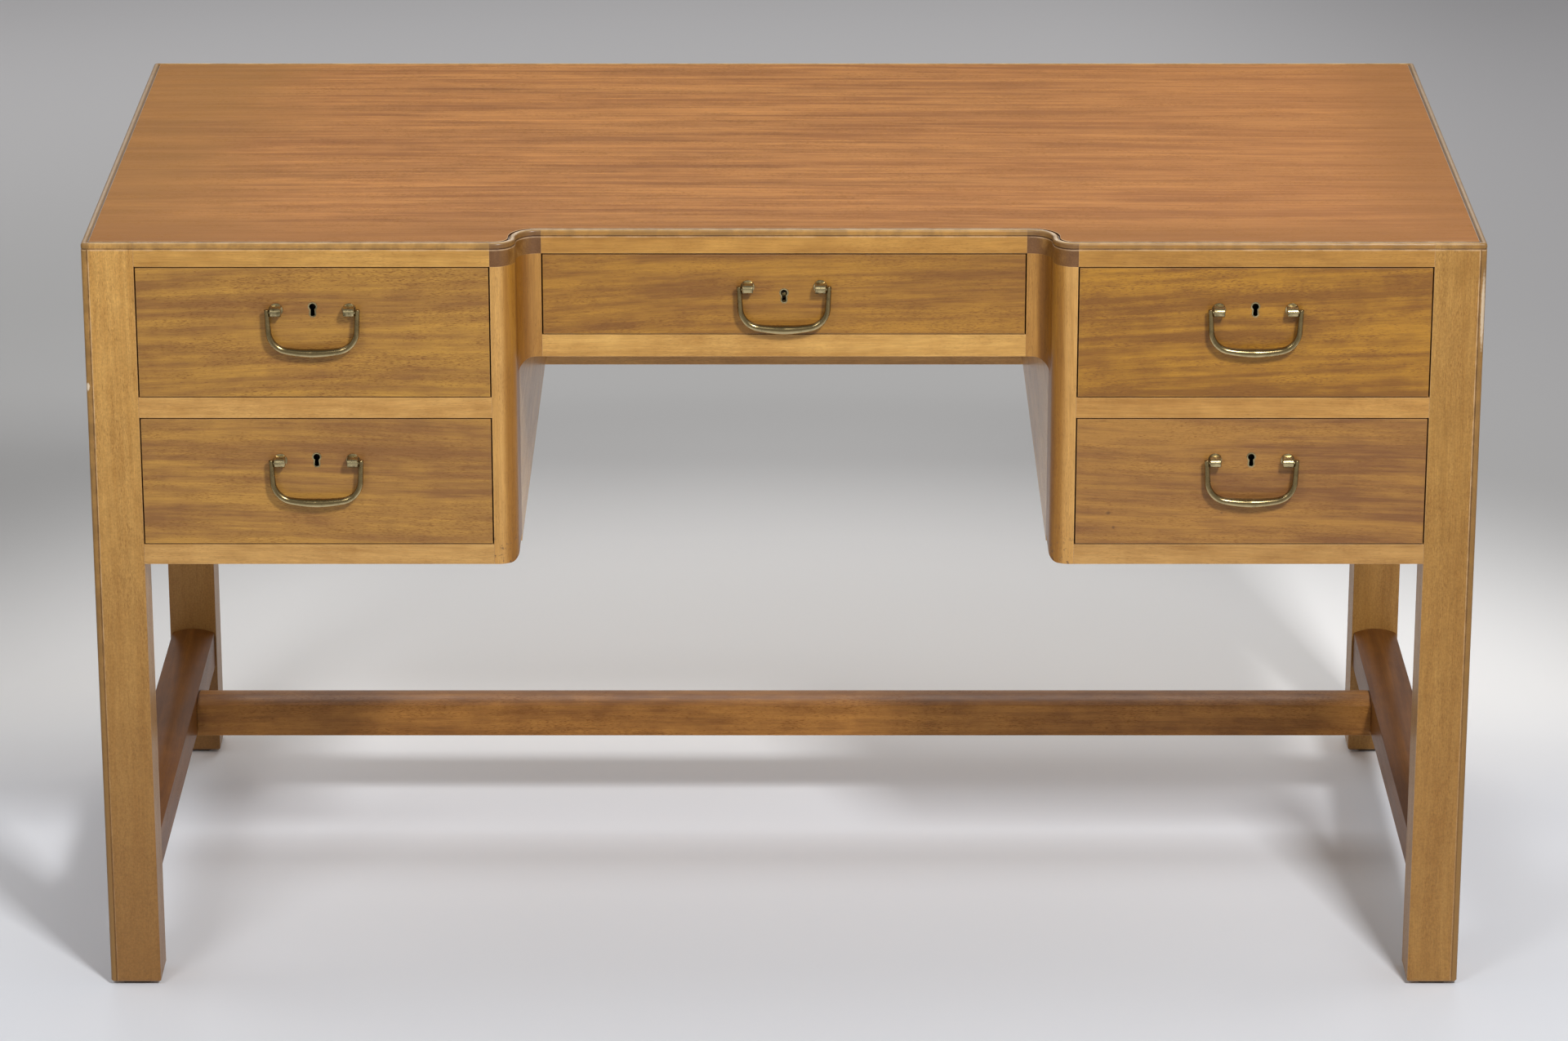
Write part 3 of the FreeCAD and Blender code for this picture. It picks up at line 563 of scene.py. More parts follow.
def on_moulding(tree, place, colour):
    """The beads of rim and legs are brown from handling, with a painted highlight, partly rubbed pale, on
    their crests, and grime and painted shade in the quirks.
    """
    woods = bpy.context.scene.desk_woods
    outer = CAD_BOX[1]
    half_depth = (outer[1] - FRONT_Y) / 2
    axes = axes_of(tree, place)
    upward = facing(tree)["Z"]
    side = minus(tree, outer[0], magnitude(tree, axes["X"]))
    depth = minus(tree, half_depth, magnitude(tree, minus(tree, axes["Y"], FRONT_Y + half_depth)))
    drop = minus(tree, outer[2], axes["Z"])
    patch = remap(tree, noise(tree, place, 60.0, 3.0, 0.6), 0.3, 0.7)

    def within(distance, reach):
        return arithmetic(tree, "LESS_THAN", distance, reach * MM)

    def between(distance, near, far):
        return minus(tree, within(distance, far), within(distance, near))

    def on_legs(near, far):
        """A line down the legs' corners, on their front and their side, which is fainter near the floor."""
        on_front = times(tree, between(side, near, far), within(depth, FACE_REACH))
        on_side = times(tree, between(depth, near, far), within(side, FACE_REACH))
        below_rim = minus(tree, 1.0, within(drop, QUIRK[1]))
        kept = times(tree, below_rim, remap(tree, axes["Z"], *LINES_FADE, 0.3, 1.0))
        return times(tree, larger(tree, on_front, on_side), kept)

    def patchy(mask, least, most):
        """The mask times a share that goes from the one to the other from patch to patch."""
        return times(tree, mask, remap(tree, patch, 0.0, 1.0, least, most))

    def near_ends(at_end, beyond):
        """A share that changes at the left and right ends of the rim."""
        return remap(tree, side, *RIM_ENDS, at_end, beyond)

    rim = within(drop, BEAD)
    upright = times(tree, within(side, BEAD), within(depth, BEAD))
    handled = larger(tree, patchy(larger(tree, rim, upright), 0.2, 0.7), patchy(upright, 0.5, 0.9))
    feet = times(tree, upright, remap(tree, axes["Z"], *FEET_DARKEN, 0.8, 0.0))
    handled = larger(tree, handled, larger(tree, times(tree, rim, near_ends(0.9, 0.0)), feet))
    colour = blend(tree, handled, colour, woods.bead)
    # Painted highlight, partly rubbed pale, on the upward faces of the rim's bead
    crest_highlight = patchy(times(tree, rim, remap(tree, upward, 0.5, 0.95)), 0.85, 0.35)
    colour = blend(tree, times(tree, crest_highlight, near_ends(0.25, 1.0)), colour, woods.crest_highlight)
    arris = patchy(larger(tree, between(drop, *RIM_ARRIS), on_legs(*LEG_ARRIS)), 0.5, 0.1)
    colour = blend(tree, arris, colour, woods.worn_edge)
    # Grime and painted shade in the quirks and on the floor of the inner quirk
    inner = times(tree, between(drop, *INNER_QUIRK), remap(tree, upward, 0.9, 0.97))
    quirks = patchy(larger(tree, on_legs(*QUIRK), between(drop, *QUIRK)), 0.25, 0.6)
    return blend(tree, larger(tree, quirks, times(tree, inner, 0.85)), colour, woods.quirk_dirt_and_shade)


def faded_top(tree, place, colour):
    """Sun has bleached the left end, the right end is redder, and hands have darkened the border. The eased
    arris is pale, partly wear and partly painted highlight, and painted shade darkens the panel's sides.
    """
    woods = bpy.context.scene.desk_woods
    axes = axes_of(tree, place)
    upward = facing(tree)["Z"]
    cloud = noise(tree, place, 5.0, 3.0, 0.55)
    edge = plus(tree, axes["X"], times(tree, cloud, 0.34))
    colour = blend(tree, remap(tree, edge, *BLEACHED, 0.75, 0.0), colour, woods.top_faded)
    streak = noise(tree, on_vectors(tree, "MULTIPLY", place, (0.08, 1.0, 1.0)), 30.0, 3.0, 0.6)
    colour = varied(tree, colour, streak, 0.3, 0.7, 0.92, 1.08)
    colour = blend(tree, remap(tree, axes["X"], *REDDER, 0.0, 0.3), colour, RED_END)
    border = larger(tree, remap(tree, axes["X"], *DARK_RIGHT), remap(tree, axes["Y"], *DARK_FRONT))
    colour = blend(tree, times(tree, border, 0.65), colour, TOP_BORDER)
    # Pale eased arris: partly wear, partly painted highlight
    patch = remap(tree, noise(tree, place, 60.0, 3.0, 0.6), 0.3, 0.7, 0.8, 0.35)
    rubbed = times(tree, remap(tree, upward, 0.93, 0.995, 1.0, 0.0), patch)
    colour = blend(tree, rubbed, colour, woods.worn_edge)
    # Painted shade on the panel's sides, which form the wall of the quirk beside the rim
    return blend(tree, remap(tree, upward, 0.50, 0.68, 1.0, 0.0), colour, woods.quirk_dirt_and_shade)


def shaded_hollow_dirty_toes(tree, place, colour):
    """Painted shade makes the posts' hollows darker and more orange than their noses, and the toes are dirty.
    """
    axes = axes_of(tree, place)
    side_shade = remap(tree, magnitude(tree, facing(tree)["X"]), 0.22, 0.6)
    colour = deepened(tree, side_shade, colour, HOLLOW_SIDE_SHADE)
    depth_shade = remap(tree, axes["Y"], FRONT_Y + 0.010, FRONT_Y + 0.022)
    colour = deepened(tree, depth_shade, colour, HOLLOW_DEPTH_SHADE)
    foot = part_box("bottom_rail_left")[0].z
    toe = remap(tree, axes["Z"], foot + 0.05, foot)
    specks = remap(tree, noise(tree, place, 240.0, 3.0, 0.6), 0.56, 0.68)
    return blend(tree, times(tree, toe, specks), colour, TOE_DIRT)


def painted_shade_above(tree, place, colour):
    """Painted shade darkens the upper side of the bails, standing in for the dark reflection of the room
    above.
    """
    upward = axes_of(tree, make_node(tree, "ShaderNodeTexCoord").outputs["Normal"])["Z"]
    return deepened(tree, remap(tree, upward, -0.40, 0.05), colour, SHADE_ABOVE)


def knocked_leg(grime_and_shade):
    """A tint for legs, which grime and painted shade darken towards the floor, and which are bare where they
    were knocked.
    """
    def tint(tree, place, colour):
        level = plus(tree, axes_of(tree, place)["Z"], times(tree, noise(tree, place, 9.0, 3.0, 0.6), 0.12))
        colour = blend(tree, remap(tree, level, 0.0, GRIME_AND_SHADE_TOP, grime_and_shade, 0.0), colour, LEG_GRIME_AND_SHADE)
        colour = varied(tree, colour, noise(tree, place, 500.0, 3.0, 0.6), 0.35, 0.65, 0.90, 1.08)
        colour = on_moulding(tree, place, colour)
        for x, z, stretch, strength in BARE_PATCHES:
            offset = on_vectors(tree, "SUBTRACT", place, (x, FRONT_Y, z))
            offset = on_vectors(tree, "MULTIPLY", offset, (1.0, 1.0, stretch))
            ragged = times(tree, noise(tree, place, 400.0), 1.5 * MM)
            away = plus(tree, on_vectors(tree, "LENGTH", offset), ragged)
            share = remap(tree, away, 2.0 * MM, 3.2 * MM, strength, 0.0)
            colour = blend(tree, share, colour, BARE_WOOD)
        return colour
    return tint


def end_grain_face(tree, place, colour):
    """The flat faces show end grain, and the curve between them side grain."""
    woods = bpy.context.scene.desk_woods
    sideways = magnitude(tree, facing(tree, "True Normal")["X"])
    cloud = noise(tree, place, 90.0, 3.0, 0.6)
    face = blend(tree, remap(tree, cloud, 0.3, 0.7), woods.block_face, DEEP_END_GRAIN)
    curve = blend(tree, remap(tree, cloud, 0.35, 0.8, 0.0, 0.3), woods.block_curve, colour)
    colour = blend(tree, remap(tree, sideways, 0.15, 0.75), face, curve)
    colour = varied(tree, colour, noise(tree, place, 900.0), 0.3, 0.7, 0.85, 1.15)
    return on_moulding(tree, place, colour)


def keyhole_shade(drawer):
    """A tint that blackens what is seen through the keyhole, behind the drawer's face."""
    pivot = PIVOTS[drawer + "_bail"]
    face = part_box(drawer + "_front")[0].y

    def tint(tree, place, colour):
        axes = axes_of(tree, place)
        side = magnitude(tree, minus(tree, axes["X"], pivot.x))
        height = magnitude(tree, minus(tree, axes["Z"], pivot.z))
        inside = times(tree, remap(tree, side, 6.0 * MM, 8.0 * MM, 1.0, 0.0),
                       remap(tree, height, 9.0 * MM, 12.0 * MM, 1.0, 0.0))
        behind = remap(tree, axes["Y"], face + 0.4 * MM, face + 2.0 * MM)
        return blend(tree, times(tree, inside, behind), colour, KEYHOLE_DARK)
    return tint


def with_knots(knots):
    """A tint that adds small dark knots at the given places on a drawer's face."""
    def tint(tree, place, colour):
        ragged = times(tree, noise(tree, place, 260.0), 2.2 * MM)
        for centre, radius in knots:
            away = plus(tree, on_vectors(tree, "DISTANCE", place, centre), ragged)
            share = remap(tree, away, radius * 0.55, radius * 1.6, 0.75, 0.0)
            colour = blend(tree, share, colour, KNOT)
        return colour
    return tint


# Mesh building

def finish_piece(name, shape, material, body, stands_for=()):
    """Turns a bmesh into a smooth-shaded piece that rides on a body."""
    mesh = bpy.data.meshes.new(name)
    bmesh.ops.recalc_face_normals(shape, faces=shape.faces)
    shape.to_mesh(mesh)
    shape.free()
    mesh.shade_smooth()
    mesh.set_sharp_from_angle(angle=math.radians(32))
    mesh.materials.append(material)
    piece = bpy.data.objects.new(name, mesh)
    bpy.context.scene.collection.objects.link(piece)
    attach(piece, body)
    if stands_for:
        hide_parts(*stands_for)
    return piece


def skin(shape, rings):
    """Faces between neighbouring rings of vertices, with a cap at each end."""
    for low, high in zip(rings, rings[1:]):
        count = len(low)
        for index in range(count):
            after = (index + 1) % count
            shape.faces.new((low[index], low[after], high[after], high[index]))
    shape.faces.new(list(reversed(rings[0])))
    shape.faces.new(rings[-1])


def ring(shape, centre, across, up, radius, count):
    return [shape.verts.new(centre + radius * (across * math.cos(math.tau * k / count)
                                               + up * math.sin(math.tau * k / count)))
            for k in range(count)]


def lathe(shape, start, axis, across, up, profile, count=32):
    """A turned form about an axis, from pairs of distance along it and radius."""
    skin(shape, [ring(shape, start + axis * along, across, up, radius, count) for along, radius in profile])


# The bail's headings where the grip ends and along its sides, and the power of its swell
GRIP_END = math.radians(9.7)
SIDE_SLOPE = math.radians(87)
SWELL = 1.4
# The bail's rounded ends: how far each ring stands out, and its size, as shares of the radius there
ROUND_END = ((0.84, 1.0), (0.95, 0.93), (1.0, 0.8))
PIN_IN_BARREL = 4.5 * MM
BARREL_ROUND = 0.45 * MM
# Steps along the bail's grip, round its bend and up its side, and round a post's nose
GRIP_STEPS = 15
BEND_STEPS = 16
SIDE_STEPS = 8
NOSE_STEPS = 24


def bail_stations(hardware):
    """Centre line of the right half of the bail, as sideways place, height and heading."""
    line = []
    for step in range(GRIP_STEPS + 1):
        angle = GRIP_END * step / GRIP_STEPS
        line.append((hardware.grip_bow * math.sin(angle),
                     hardware.grip_bow * (1 - math.cos(angle)) - hardware.bail_drop, angle))
    x, z, angle = line[-1]
    centre_x = x - hardware.corner_bend * math.sin(angle)
    centre_z = z + hardware.corner_bend * math.cos(angle)
    for step in range(1, BEND_STEPS + 1):
        angle = GRIP_END + (SIDE_SLOPE - GRIP_END) * step / BEND_STEPS
        line.append((centre_x + hardware.corner_bend * math.sin(angle),
                     centre_z - hardware.corner_bend * math.cos(angle), angle))
    x, z, angle = line[-1]
    for step in range(1, SIDE_STEPS + 1):
        share = step / SIDE_STEPS
        line.append((x - z * share / math.tan(angle), z * (1 - share), angle))
    return line


def bail_shape(shape, hardware, pivot):
    """A bar that swells towards the grip, with rounded ends and a pin through each."""
    half = bail_stations(hardware)
    walked = [0.0]
    for (x0, z0, _), (x1, z1, _) in zip(half, half[1:]):
        walked.append(walked[-1] + math.hypot(x1 - x0, z1 - z0))
    stations = []
    for (x, z, angle), length in zip(half, walked):
        swell = (1 - length / walked[-1]) ** SWELL
        radius = hardware.bar_radius + (hardware.grip_radius - hardware.bar_radius) * swell
        stations.append((x, z, angle, radius))
    end_x, end_z, angle, radius = stations[-1]
    for lift, shrink in ROUND_END:
        stations.append((end_x + radius * lift * math.cos(angle), end_z + radius * lift * math.sin(angle),
                         angle, radius * shrink))
    stations = [(-x, z, -angle, radius) for x, z, angle, radius in reversed(stations[1:])] + stations
    rings = []
    for x, z, angle, radius in stations:
        across = Vector((-math.sin(angle), 0, math.cos(angle)))
        rings.append(ring(shape, pivot + Vector((x, 0, z)), Y, across, radius, 24))
    skin(shape, rings)
    reach = hardware.barrel_gap + PIN_IN_BARREL
    length = reach + 2 * hardware.bar_radius
    radius = hardware.pin_radius * 0.98
    profile = [(0.0, radius), (length - 0.3 * MM, radius), (length - 0.05 * MM, hardware.pin_radius * 0.7)]
    for side in (1, -1):
        start = pivot + side * X * (end_x - hardware.bar_radius - reach)
        lathe(shape, start, side * X, Y, Z, profile, 20)
    return end_x


def post_shape(shape, hardware, pivot, side, inner):
    """One post: a round foot, a lug that widens into a barrel round the pin, and eased ends."""
    face = hardware.standoff
    length = hardware.barrel_length
    nose = [math.radians(90 + 180 * step / NOSE_STEPS) for step in range(NOSE_STEPS + 1)]
    rings = []
    for along, shrink in ((0.0, BARREL_ROUND), (BARREL_ROUND, 0.0), (length - BARREL_ROUND, 0.0),
                          (length, BARREL_ROUND)):
        size = hardware.barrel_radius - shrink
        points = [Vector((0, size * math.cos(angle), size * math.sin(angle))) for angle in nose]
        points.append(Vector((0, face, -size)))
        points.append(Vector((0, face, size)))
        rings.append([shape.verts.new(pivot + side * X * (inner + along) + point) for point in points])
    skin(shape, rings)
    foot = pivot + side * X * (inner + length / 2) + Y * face
    rim = hardware.flange_radius
    thick = hardware.flange_thickness
    profile = [(0.0, rim), (thick - 0.5 * MM, rim), (thick - 0.12 * MM, rim - 0.2 * MM),
               (thick, rim - 0.6 * MM)]
    lathe(shape, foot, -Y, X, Z, profile, 40)


# Profiles of the fixings: distance along the axis and radius, in millimetres
WASHER = ((0.0, 6.0), (0.5, 6.0), (0.8, 5.6))
NUT = ((0.0, 5.2), (2.6, 5.2), (3.0, 4.7))
TAIL = ((0.0, 1.9), (1.9, 1.9), (2.3, 1.4))


def fixing_shape(shape, centre):
    """Washer, square nut and the end of the post's threaded tail, inside the drawer."""
    slant = (X + Z).normalized(), (Z - X).normalized()
    for start, (across, up), profile, count in ((0.0, (X, Z), WASHER, 32), (0.8, slant, NUT, 4),
                                                (3.0, (X, Z), TAIL, 20)):
        lathe(shape, centre + Y * start * MM, Y, across, up, [(a * MM, r * MM) for a, r in profile], count)


# Operators

# How much paler or darker each rail is than the rest of the case: partly its own tone, partly painted shade
# that darkens the rails on the right
RAIL_TONES_AND_SHADE = {
    "top_rail_left": (0.90, 0.87, 0.70), "top_rail_centre": (0.83, 0.76, 0.56),
    "top_rail_right": (0.70, 0.62, 0.42), "middle_rail_left": PLAIN, "middle_rail_right": (0.87, 0.82, 0.72),
    "bottom_rail_left": (0.94, 0.96, 1.03), "bottom_rail_right": (0.82, 0.81, 0.84),
    "centre_rail": (1.04, 1.06, 1.0), "back_top_rail": PLAIN, "back_bottom_rail": PLAIN,
}
# Painted shade that darkens the side stretchers, which sit in the desk's shade
SIDE_STRETCHER_PAINTED_SHADE = (0.48, 0.40, 0.30)
# Each side's shade, painted light and shade that makes the left legs lighter and the right ones darker, and
# how much grime and painted shade gather at the feet
LEG_SIDES = {"left": ((1.13, 1.16, 1.14), 0.88), "right": ((0.74, 0.72, 0.64), 0.42)}


class DESK_OT_dress_top(bpy.types.Operator):
    """Finishes the desk top"""
    bl_idname = "desk.dress_top"
    bl_label = "Dress the top"

    def execute(self, context):
        woods = context.scene.desk_woods
        top = wood("Top", ACROSS, (woods.top_pale, woods.top_deep), seed=3.1, bands=0.50, streaks=0.85,
                   mottle=0.15, pores=0.6, wear=0.95, wear_reach=1.1, tint=faded_top, coat=0.0, specular=0.03)
        dress(["top_panel"], top, 0.8, 3)
        return {"FINISHED"}


class DESK_OT_dress_case(bpy.types.Operator):
    """Finishes rails, legs, posts, panels and stretchers"""
    bl_idname = "desk.dress_case"
    bl_label = "Dress the case"

    def execute(self, context):
        woods = context.scene.desk_woods
        case = (woods.case_pale, woods.case_deep)
        self.rails_and_legs(case)
        self.posts_and_panels(case)
        self.stretchers((woods.stretcher_pale, woods.stretcher_deep))
        runners = wood("Runners", BACKWARDS, (woods.lining_pale, woods.lining_deep), seed=60.0, wear=0.1,
                       coat=0.0)
        dress(["drawer_runners", "drawer_kickers", "drawer_stops"], runners)
        pads, tree, shader, place = fresh_material("Glides")
        cloud = noise(tree, place, 300.0, 3.0, 0.6)
        feed(tree, shader, "Base Color", blend(tree, cloud, GLIDE_DARK, GLIDE_PALE))
        feed(tree, shader, "Roughness", remap(tree, cloud, 0.3, 0.7, 0.55, 0.8))
        dress(["foot_glides"], pads)
        return {"FINISHED"}

    def rails_and_legs(self, case):
        for number, (node, shade) in enumerate(RAIL_TONES_AND_SHADE.items()):
            rail = wood("Rail " + node.replace("_", " "), ACROSS, case, shade, seed=number * 1.7, bands=0.35,
                        streaks=0.4, mottle=0.3, pores=0.3, wear=0.75, tint=on_moulding)
            dress([node], rail, 0.22)
        for side, (shade, grime_and_shade) in LEG_SIDES.items():
            leg = wood("Legs " + side, UPRIGHT, case, shade, seed=21.0, bands=0.3, streaks=0.35, mottle=0.2,
                       pores=0.5, wear=0.8, wear_reach=1.1, tint=knocked_leg(grime_and_shade), coat=0.08, specular=0.3)
            dress(["front_leg_" + side, "back_leg_" + side], leg, 0.25)

    def posts_and_panels(self, case):
        post = wood("Curved posts", UPRIGHT, case, seed=27.0, bands=0.35, streaks=0.4, mottle=0.15,
                    pores=0.35, wear=0.6, tint=shaded_hollow_dirty_toes)
        dress(pair("curved_post"), post, 0.18)
        block = wood("Curved blocks", UPRIGHT, case, seed=33.0, pores=0.2, wear=0.6, tint=end_grain_face)
        dress(["curved_blocks"], block, 0.18)
        plain = {"streaks": 0.45, "mottle": 0.2, "pores": 0.35}
        dress(["back_panel"], wood("Panels", ACROSS, case, seed=40.0, coat=0.35, **plain))
        kneehole = wood("Kneehole panels", BACKWARDS, case, seed=45.0, coat=0.6, specular=0.5, **plain)
        dress(pair("inner_panel"), kneehole, 0.2)
        outer = wood("Outer end panels", BACKWARDS, case, seed=47.0, tint=on_moulding, **plain)
        dress(pair("end_panel"), outer, 0.2)

    def stretchers(self, colours):
        sides = wood("Side stretchers", BACKWARDS, colours, SIDE_STRETCHER_PAINTED_SHADE, seed=50.0, coat=0.05,
                     specular=0.15)
        dress(pair("side_stretcher"), sides, 0.5)
        centre = wood("Centre stretcher", ACROSS, colours, seed=55.0, streaks=0.6, mottle=0.4, pores=0.9,
                      coat=0.05, specular=0.2)
        dress(["centre_stretcher"], centre, 0.5)


# Each front's seed and strengths of grain, its shade (partly its own tone, partly painted shade, darkest on
# the right-hand and centre fronts), and the tilt of its grain in degrees
FRONT_LOOKS = {
    "upper_left_drawer": {"seed": 70.0, "bands": 0.42, "streaks": 0.70, "mottle": 0.25, "pores": 0.85},
    "lower_left_drawer": {"seed": 75.5, "bands": 0.70, "streaks": 0.75, "mottle": 0.22, "pores": 0.65},
    "centre_drawer": {"seed": 80.0, "bands": 0.55, "streaks": 0.85, "mottle": 0.20, "pores": 0.70},
    "upper_right_drawer": {"seed": 86.0, "bands": 0.65, "streaks": 0.85, "mottle": 0.40, "pores": 0.85},
    "lower_right_drawer": {"seed": 91.0, "bands": 0.80, "streaks": 0.80, "mottle": 0.20, "pores": 0.65},
}
FRONT_TONES_AND_SHADE = {"upper_left_drawer": (0.86, 0.89, 0.75), "lower_left_drawer": (0.84, 0.87, 0.86),
                "centre_drawer": (0.75, 0.72, 0.51), "upper_right_drawer": (0.77, 0.73, 0.38),
                "lower_right_drawer": (0.71, 0.69, 0.73)}
GRAIN_TILT = {"upper_left_drawer": 1.5, "lower_left_drawer": -2.5, "centre_drawer": 1.0,
              "upper_right_drawer": 2.5, "lower_right_drawer": -3.0}
# Knots on the lower right front, from its lower left corner: sideways, up and radius, in millimetres
KNOTS = {"lower_right_drawer": ((30.0, 30.0, 2.4), (135.0, 30.0, 1.8), (35.0, 16.0, 2.0))}


class DESK_OT_dress_drawers(bpy.types.Operator):
    """Finishes the drawer fronts, boxes and locks"""
    bl_idname = "desk.dress_drawers"
    bl_label = "Dress the drawers"

    def execute(self, context):
        woods = context.scene.desk_woods
        lining = wood("Drawer lining", BACKWARDS, (woods.lining_pale, woods.lining_deep), seed=65.0,
                      bands=0.4, pores=0.3, wear=0.1, coat=0.0)
        steel = plain_metal("Bolt steel", STEEL_BRIGHT, STEEL_DULL, 0.35)
        for drawer in DRAWERS:
            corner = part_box(drawer + "_front")[0]
            knots = [(corner + (X * side + Z * up) * MM, radius * MM)
                     for side, up, radius in KNOTS.get(drawer, ())]
            front = wood("Front " + drawer.replace("_", " "), (0.0, math.radians(GRAIN_TILT[drawer]), 0.0),
                         (woods.front_pale, woods.front_deep), FRONT_TONES_AND_SHADE[drawer], wear=0.65,
                         tint=with_knots(knots), **FRONT_LOOKS[drawer])
            dress([drawer + "_front"], front, 0.45)
            dress([drawer + "_box"], lining)
            lock = brass("Lock brass " + drawer.replace("_", " "), 0.8, keyhole_shade(drawer))
            dress([drawer + "_lock"], lock)
            dress([drawer + "_bolt"], steel)
        return {"FINISHED"}


class DESK_OT_fit_handles(bpy.types.Operator):
    """Makes the drop handles, with their posts and the fixings inside the drawers"""
    bl_idname = "desk.fit_handles"
    bl_label = "Fit the handles"

    def execute(self, context):
        hardware = context.scene.desk_hardware
        bow = brass("Bail brass", 0.4, painted_shade_above)
        stem = brass("Post brass", 1.1)
        for drawer in DRAWERS:
            pivot = PIVOTS[drawer + "_bail"]
            shape = bmesh.new()
            end_x = bail_shape(shape, hardware, pivot)
            finish_piece(drawer + "_bail_bow", shape, bow, drawer + "_bail", [drawer + "_bail"])
            inner = end_x - hardware.bar_radius - hardware.barrel_gap - hardware.barrel_length
            middle = inner + hardware.barrel_length / 2
            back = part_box(drawer + "_front")[1].y
            posts = bmesh.new()
            fixings = bmesh.new()
            for side in (1, -1):
                post_shape(posts, hardware, pivot, side, inner)
                fixing_shape(fixings, Vector((pivot.x + side * middle, back, pivot.z)))
            finish_piece(drawer + "_posts", posts, stem, drawer, [drawer + "_handle_posts"])
            finish_piece(drawer + "_fixings", fixings, stem, drawer)
        return {"FINISHED"}


# Distances from the desk at which the floor's painted light changes: the painted pool of light behind its
# front, the painted falloff all round, and the painted dimming to the right and far back
BEHIND_DESK = (0.08, 0.5)
TO_MIDDLE = (0.85, 1.5)
TO_FAR = (2.0, 3.6)
DIM_SIDEWAYS = (0.4, 1.2)
DIM_BACKWARDS = (0.6, 2.0)
# Each lamp's place, size in metres and power in watts
LAMPS = {
    "upper left light": ((-2.0, 0.0, 2.9), (1.1, 1.4), 9.0),
    "upper right light": ((2.0, 0.0, 2.9), (1.1, 1.4), 6.0),
    "back light": ((0.0, 2.5, 2.5), (3.0, 1.2), 37.0),
    "front right light": ((1.25, -3.2, 3.2), (0.55, 0.55), 122.0),
    "front left light": ((-1.8, -3.1, 3.0), (1.0, 0.8), 28.0),
}
LAMP_AIM = Vector((0.0, 0.0, 0.45))
FLOOR_RADIUS = 60.0
WORLD_COLOUR = (0.98, 0.985, 1.0)


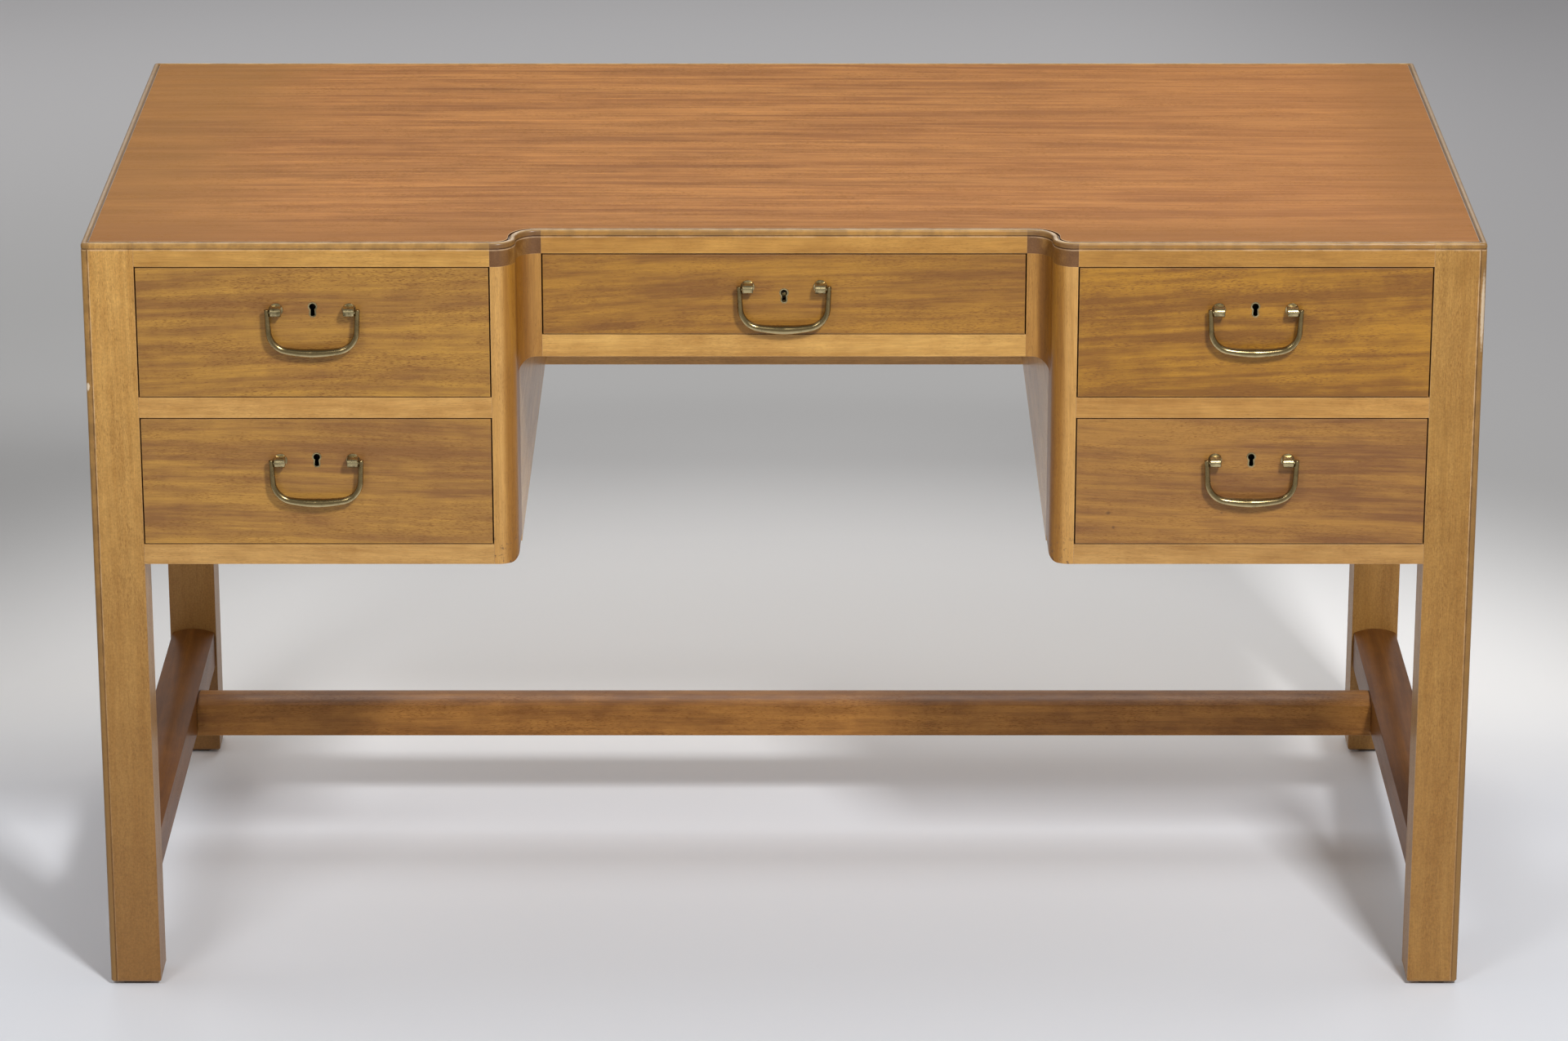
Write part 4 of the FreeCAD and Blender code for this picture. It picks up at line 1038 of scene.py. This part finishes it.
class DESK_OT_lay_stage(bpy.types.Operator):
    """Lays the floor and sets up the lights, the world and the camera"""
    bl_idname = "desk.lay_stage"
    bl_label = "Lay the stage"

    def execute(self, context):
        studio = context.scene.desk_studio
        self.floor(studio)
        self.lights()
        self.world(studio)
        self.camera(studio)
        context.scene.view_settings.view_transform = "Standard"
        return {"FINISHED"}

    def floor(self, studio):
        shape = bmesh.new()
        bmesh.ops.create_circle(shape, cap_ends=True, radius=FLOOR_RADIUS, segments=96)
        mesh = bpy.data.meshes.new("floor")
        shape.to_mesh(mesh)
        shape.free()
        floor = bpy.data.objects.new("floor", mesh)
        bpy.context.scene.collection.objects.link(floor)
        material, tree, shader, place = fresh_material("Floor")
        axes = axes_of(tree, place)
        away = on_vectors(tree, "LENGTH", place)
        # Painted pool of light behind the desk, and painted falloff further away
        behind = remap(tree, axes["Y"], *BEHIND_DESK)
        colour = blend(tree, behind, studio.floor_near, studio.floor_behind)
        colour = blend(tree, remap(tree, away, *TO_MIDDLE), colour, studio.floor_middle)
        colour = blend(tree, remap(tree, away, *TO_FAR), colour, studio.floor_far)
        # Painted falloff of light to the right and far behind the desk
        right_and_far = times(tree, remap(tree, axes["X"], *DIM_SIDEWAYS, 0.0, 0.6),
                              remap(tree, axes["Y"], *DIM_BACKWARDS))
        feed(tree, shader, "Base Color", blend(tree, right_and_far, colour, DIM_FLOOR))
        shader.inputs["Roughness"].default_value = 0.85
        shader.inputs["Specular IOR Level"].default_value = 0.1
        mesh.materials.append(material)

    def lights(self):
        for name, (place, size, power) in LAMPS.items():
            lamp = bpy.data.lights.new(name, "AREA")
            lamp.shape = "RECTANGLE"
            lamp.size, lamp.size_y = size
            lamp.energy = power
            holder = bpy.data.objects.new(name, lamp)
            holder.location = place
            holder.rotation_euler = (LAMP_AIM - Vector(place)).to_track_quat("-Z", "Y").to_euler()
            bpy.context.scene.collection.objects.link(holder)

    def world(self, studio):
        world = bpy.data.worlds.new("Studio")
        world.use_nodes = True
        tree = world.node_tree
        background = tree.nodes["Background"]
        height = axes_of(tree, make_node(tree, "ShaderNodeTexCoord").outputs["Generated"])["Z"]
        strength = remap(tree, height, 0.15, 0.75, studio.world_low, studio.world_high)
        feed(tree, background, "Color", WORLD_COLOUR)
        feed(tree, background, "Strength", strength)
        bpy.context.scene.world = world

    def camera(self, studio):
        lens = bpy.data.cameras.new("camera")
        lens.sensor_width = 36.0
        lens.lens = studio.focal_length
        holder = bpy.data.objects.new("camera", lens)
        holder.location = (0.0, FRONT_Y - studio.camera_distance, studio.camera_height)
        holder.rotation_euler = (math.radians(90) - studio.camera_tilt, 0.0, 0.0)
        bpy.context.scene.collection.objects.link(holder)
        bpy.context.scene.camera = holder


OPERATORS = (DESK_OT_dress_top, DESK_OT_dress_case, DESK_OT_dress_drawers, DESK_OT_fit_handles,
             DESK_OT_lay_stage)
GROUPS = {"desk_woods": DeskWoods, "desk_hardware": DeskHardware, "desk_studio": DeskStudio}


class DESK_PT_panel(bpy.types.Panel):
    """Lists what dresses the desk"""
    bl_label = "Writing desk"
    bl_idname = "DESK_PT_panel"
    bl_space_type = "VIEW_3D"
    bl_region_type = "UI"
    bl_category = "Desk"

    def draw(self, context):
        for operator in OPERATORS:
            self.layout.operator(operator.bl_idname)
        for name, group in GROUPS.items():
            box = self.layout.box()
            for key in group.__annotations__:
                box.prop(getattr(context.scene, name), key)


def register():
    for kind in (*GROUPS.values(), *OPERATORS, DESK_PT_panel):
        bpy.utils.register_class(kind)
    for name, group in GROUPS.items():
        setattr(bpy.types.Scene, name, PointerProperty(type=group))


def unregister():
    for name in GROUPS:
        delattr(bpy.types.Scene, name)
    for kind in reversed((*GROUPS.values(), *OPERATORS, DESK_PT_panel)):
        bpy.utils.unregister_class(kind)


def main():
    register()
    bpy.ops.desk.dress_top()
    bpy.ops.desk.dress_case()
    bpy.ops.desk.dress_drawers()
    bpy.ops.desk.fit_handles()
    bpy.ops.desk.lay_stage()


if __name__ == "__main__":
    main()
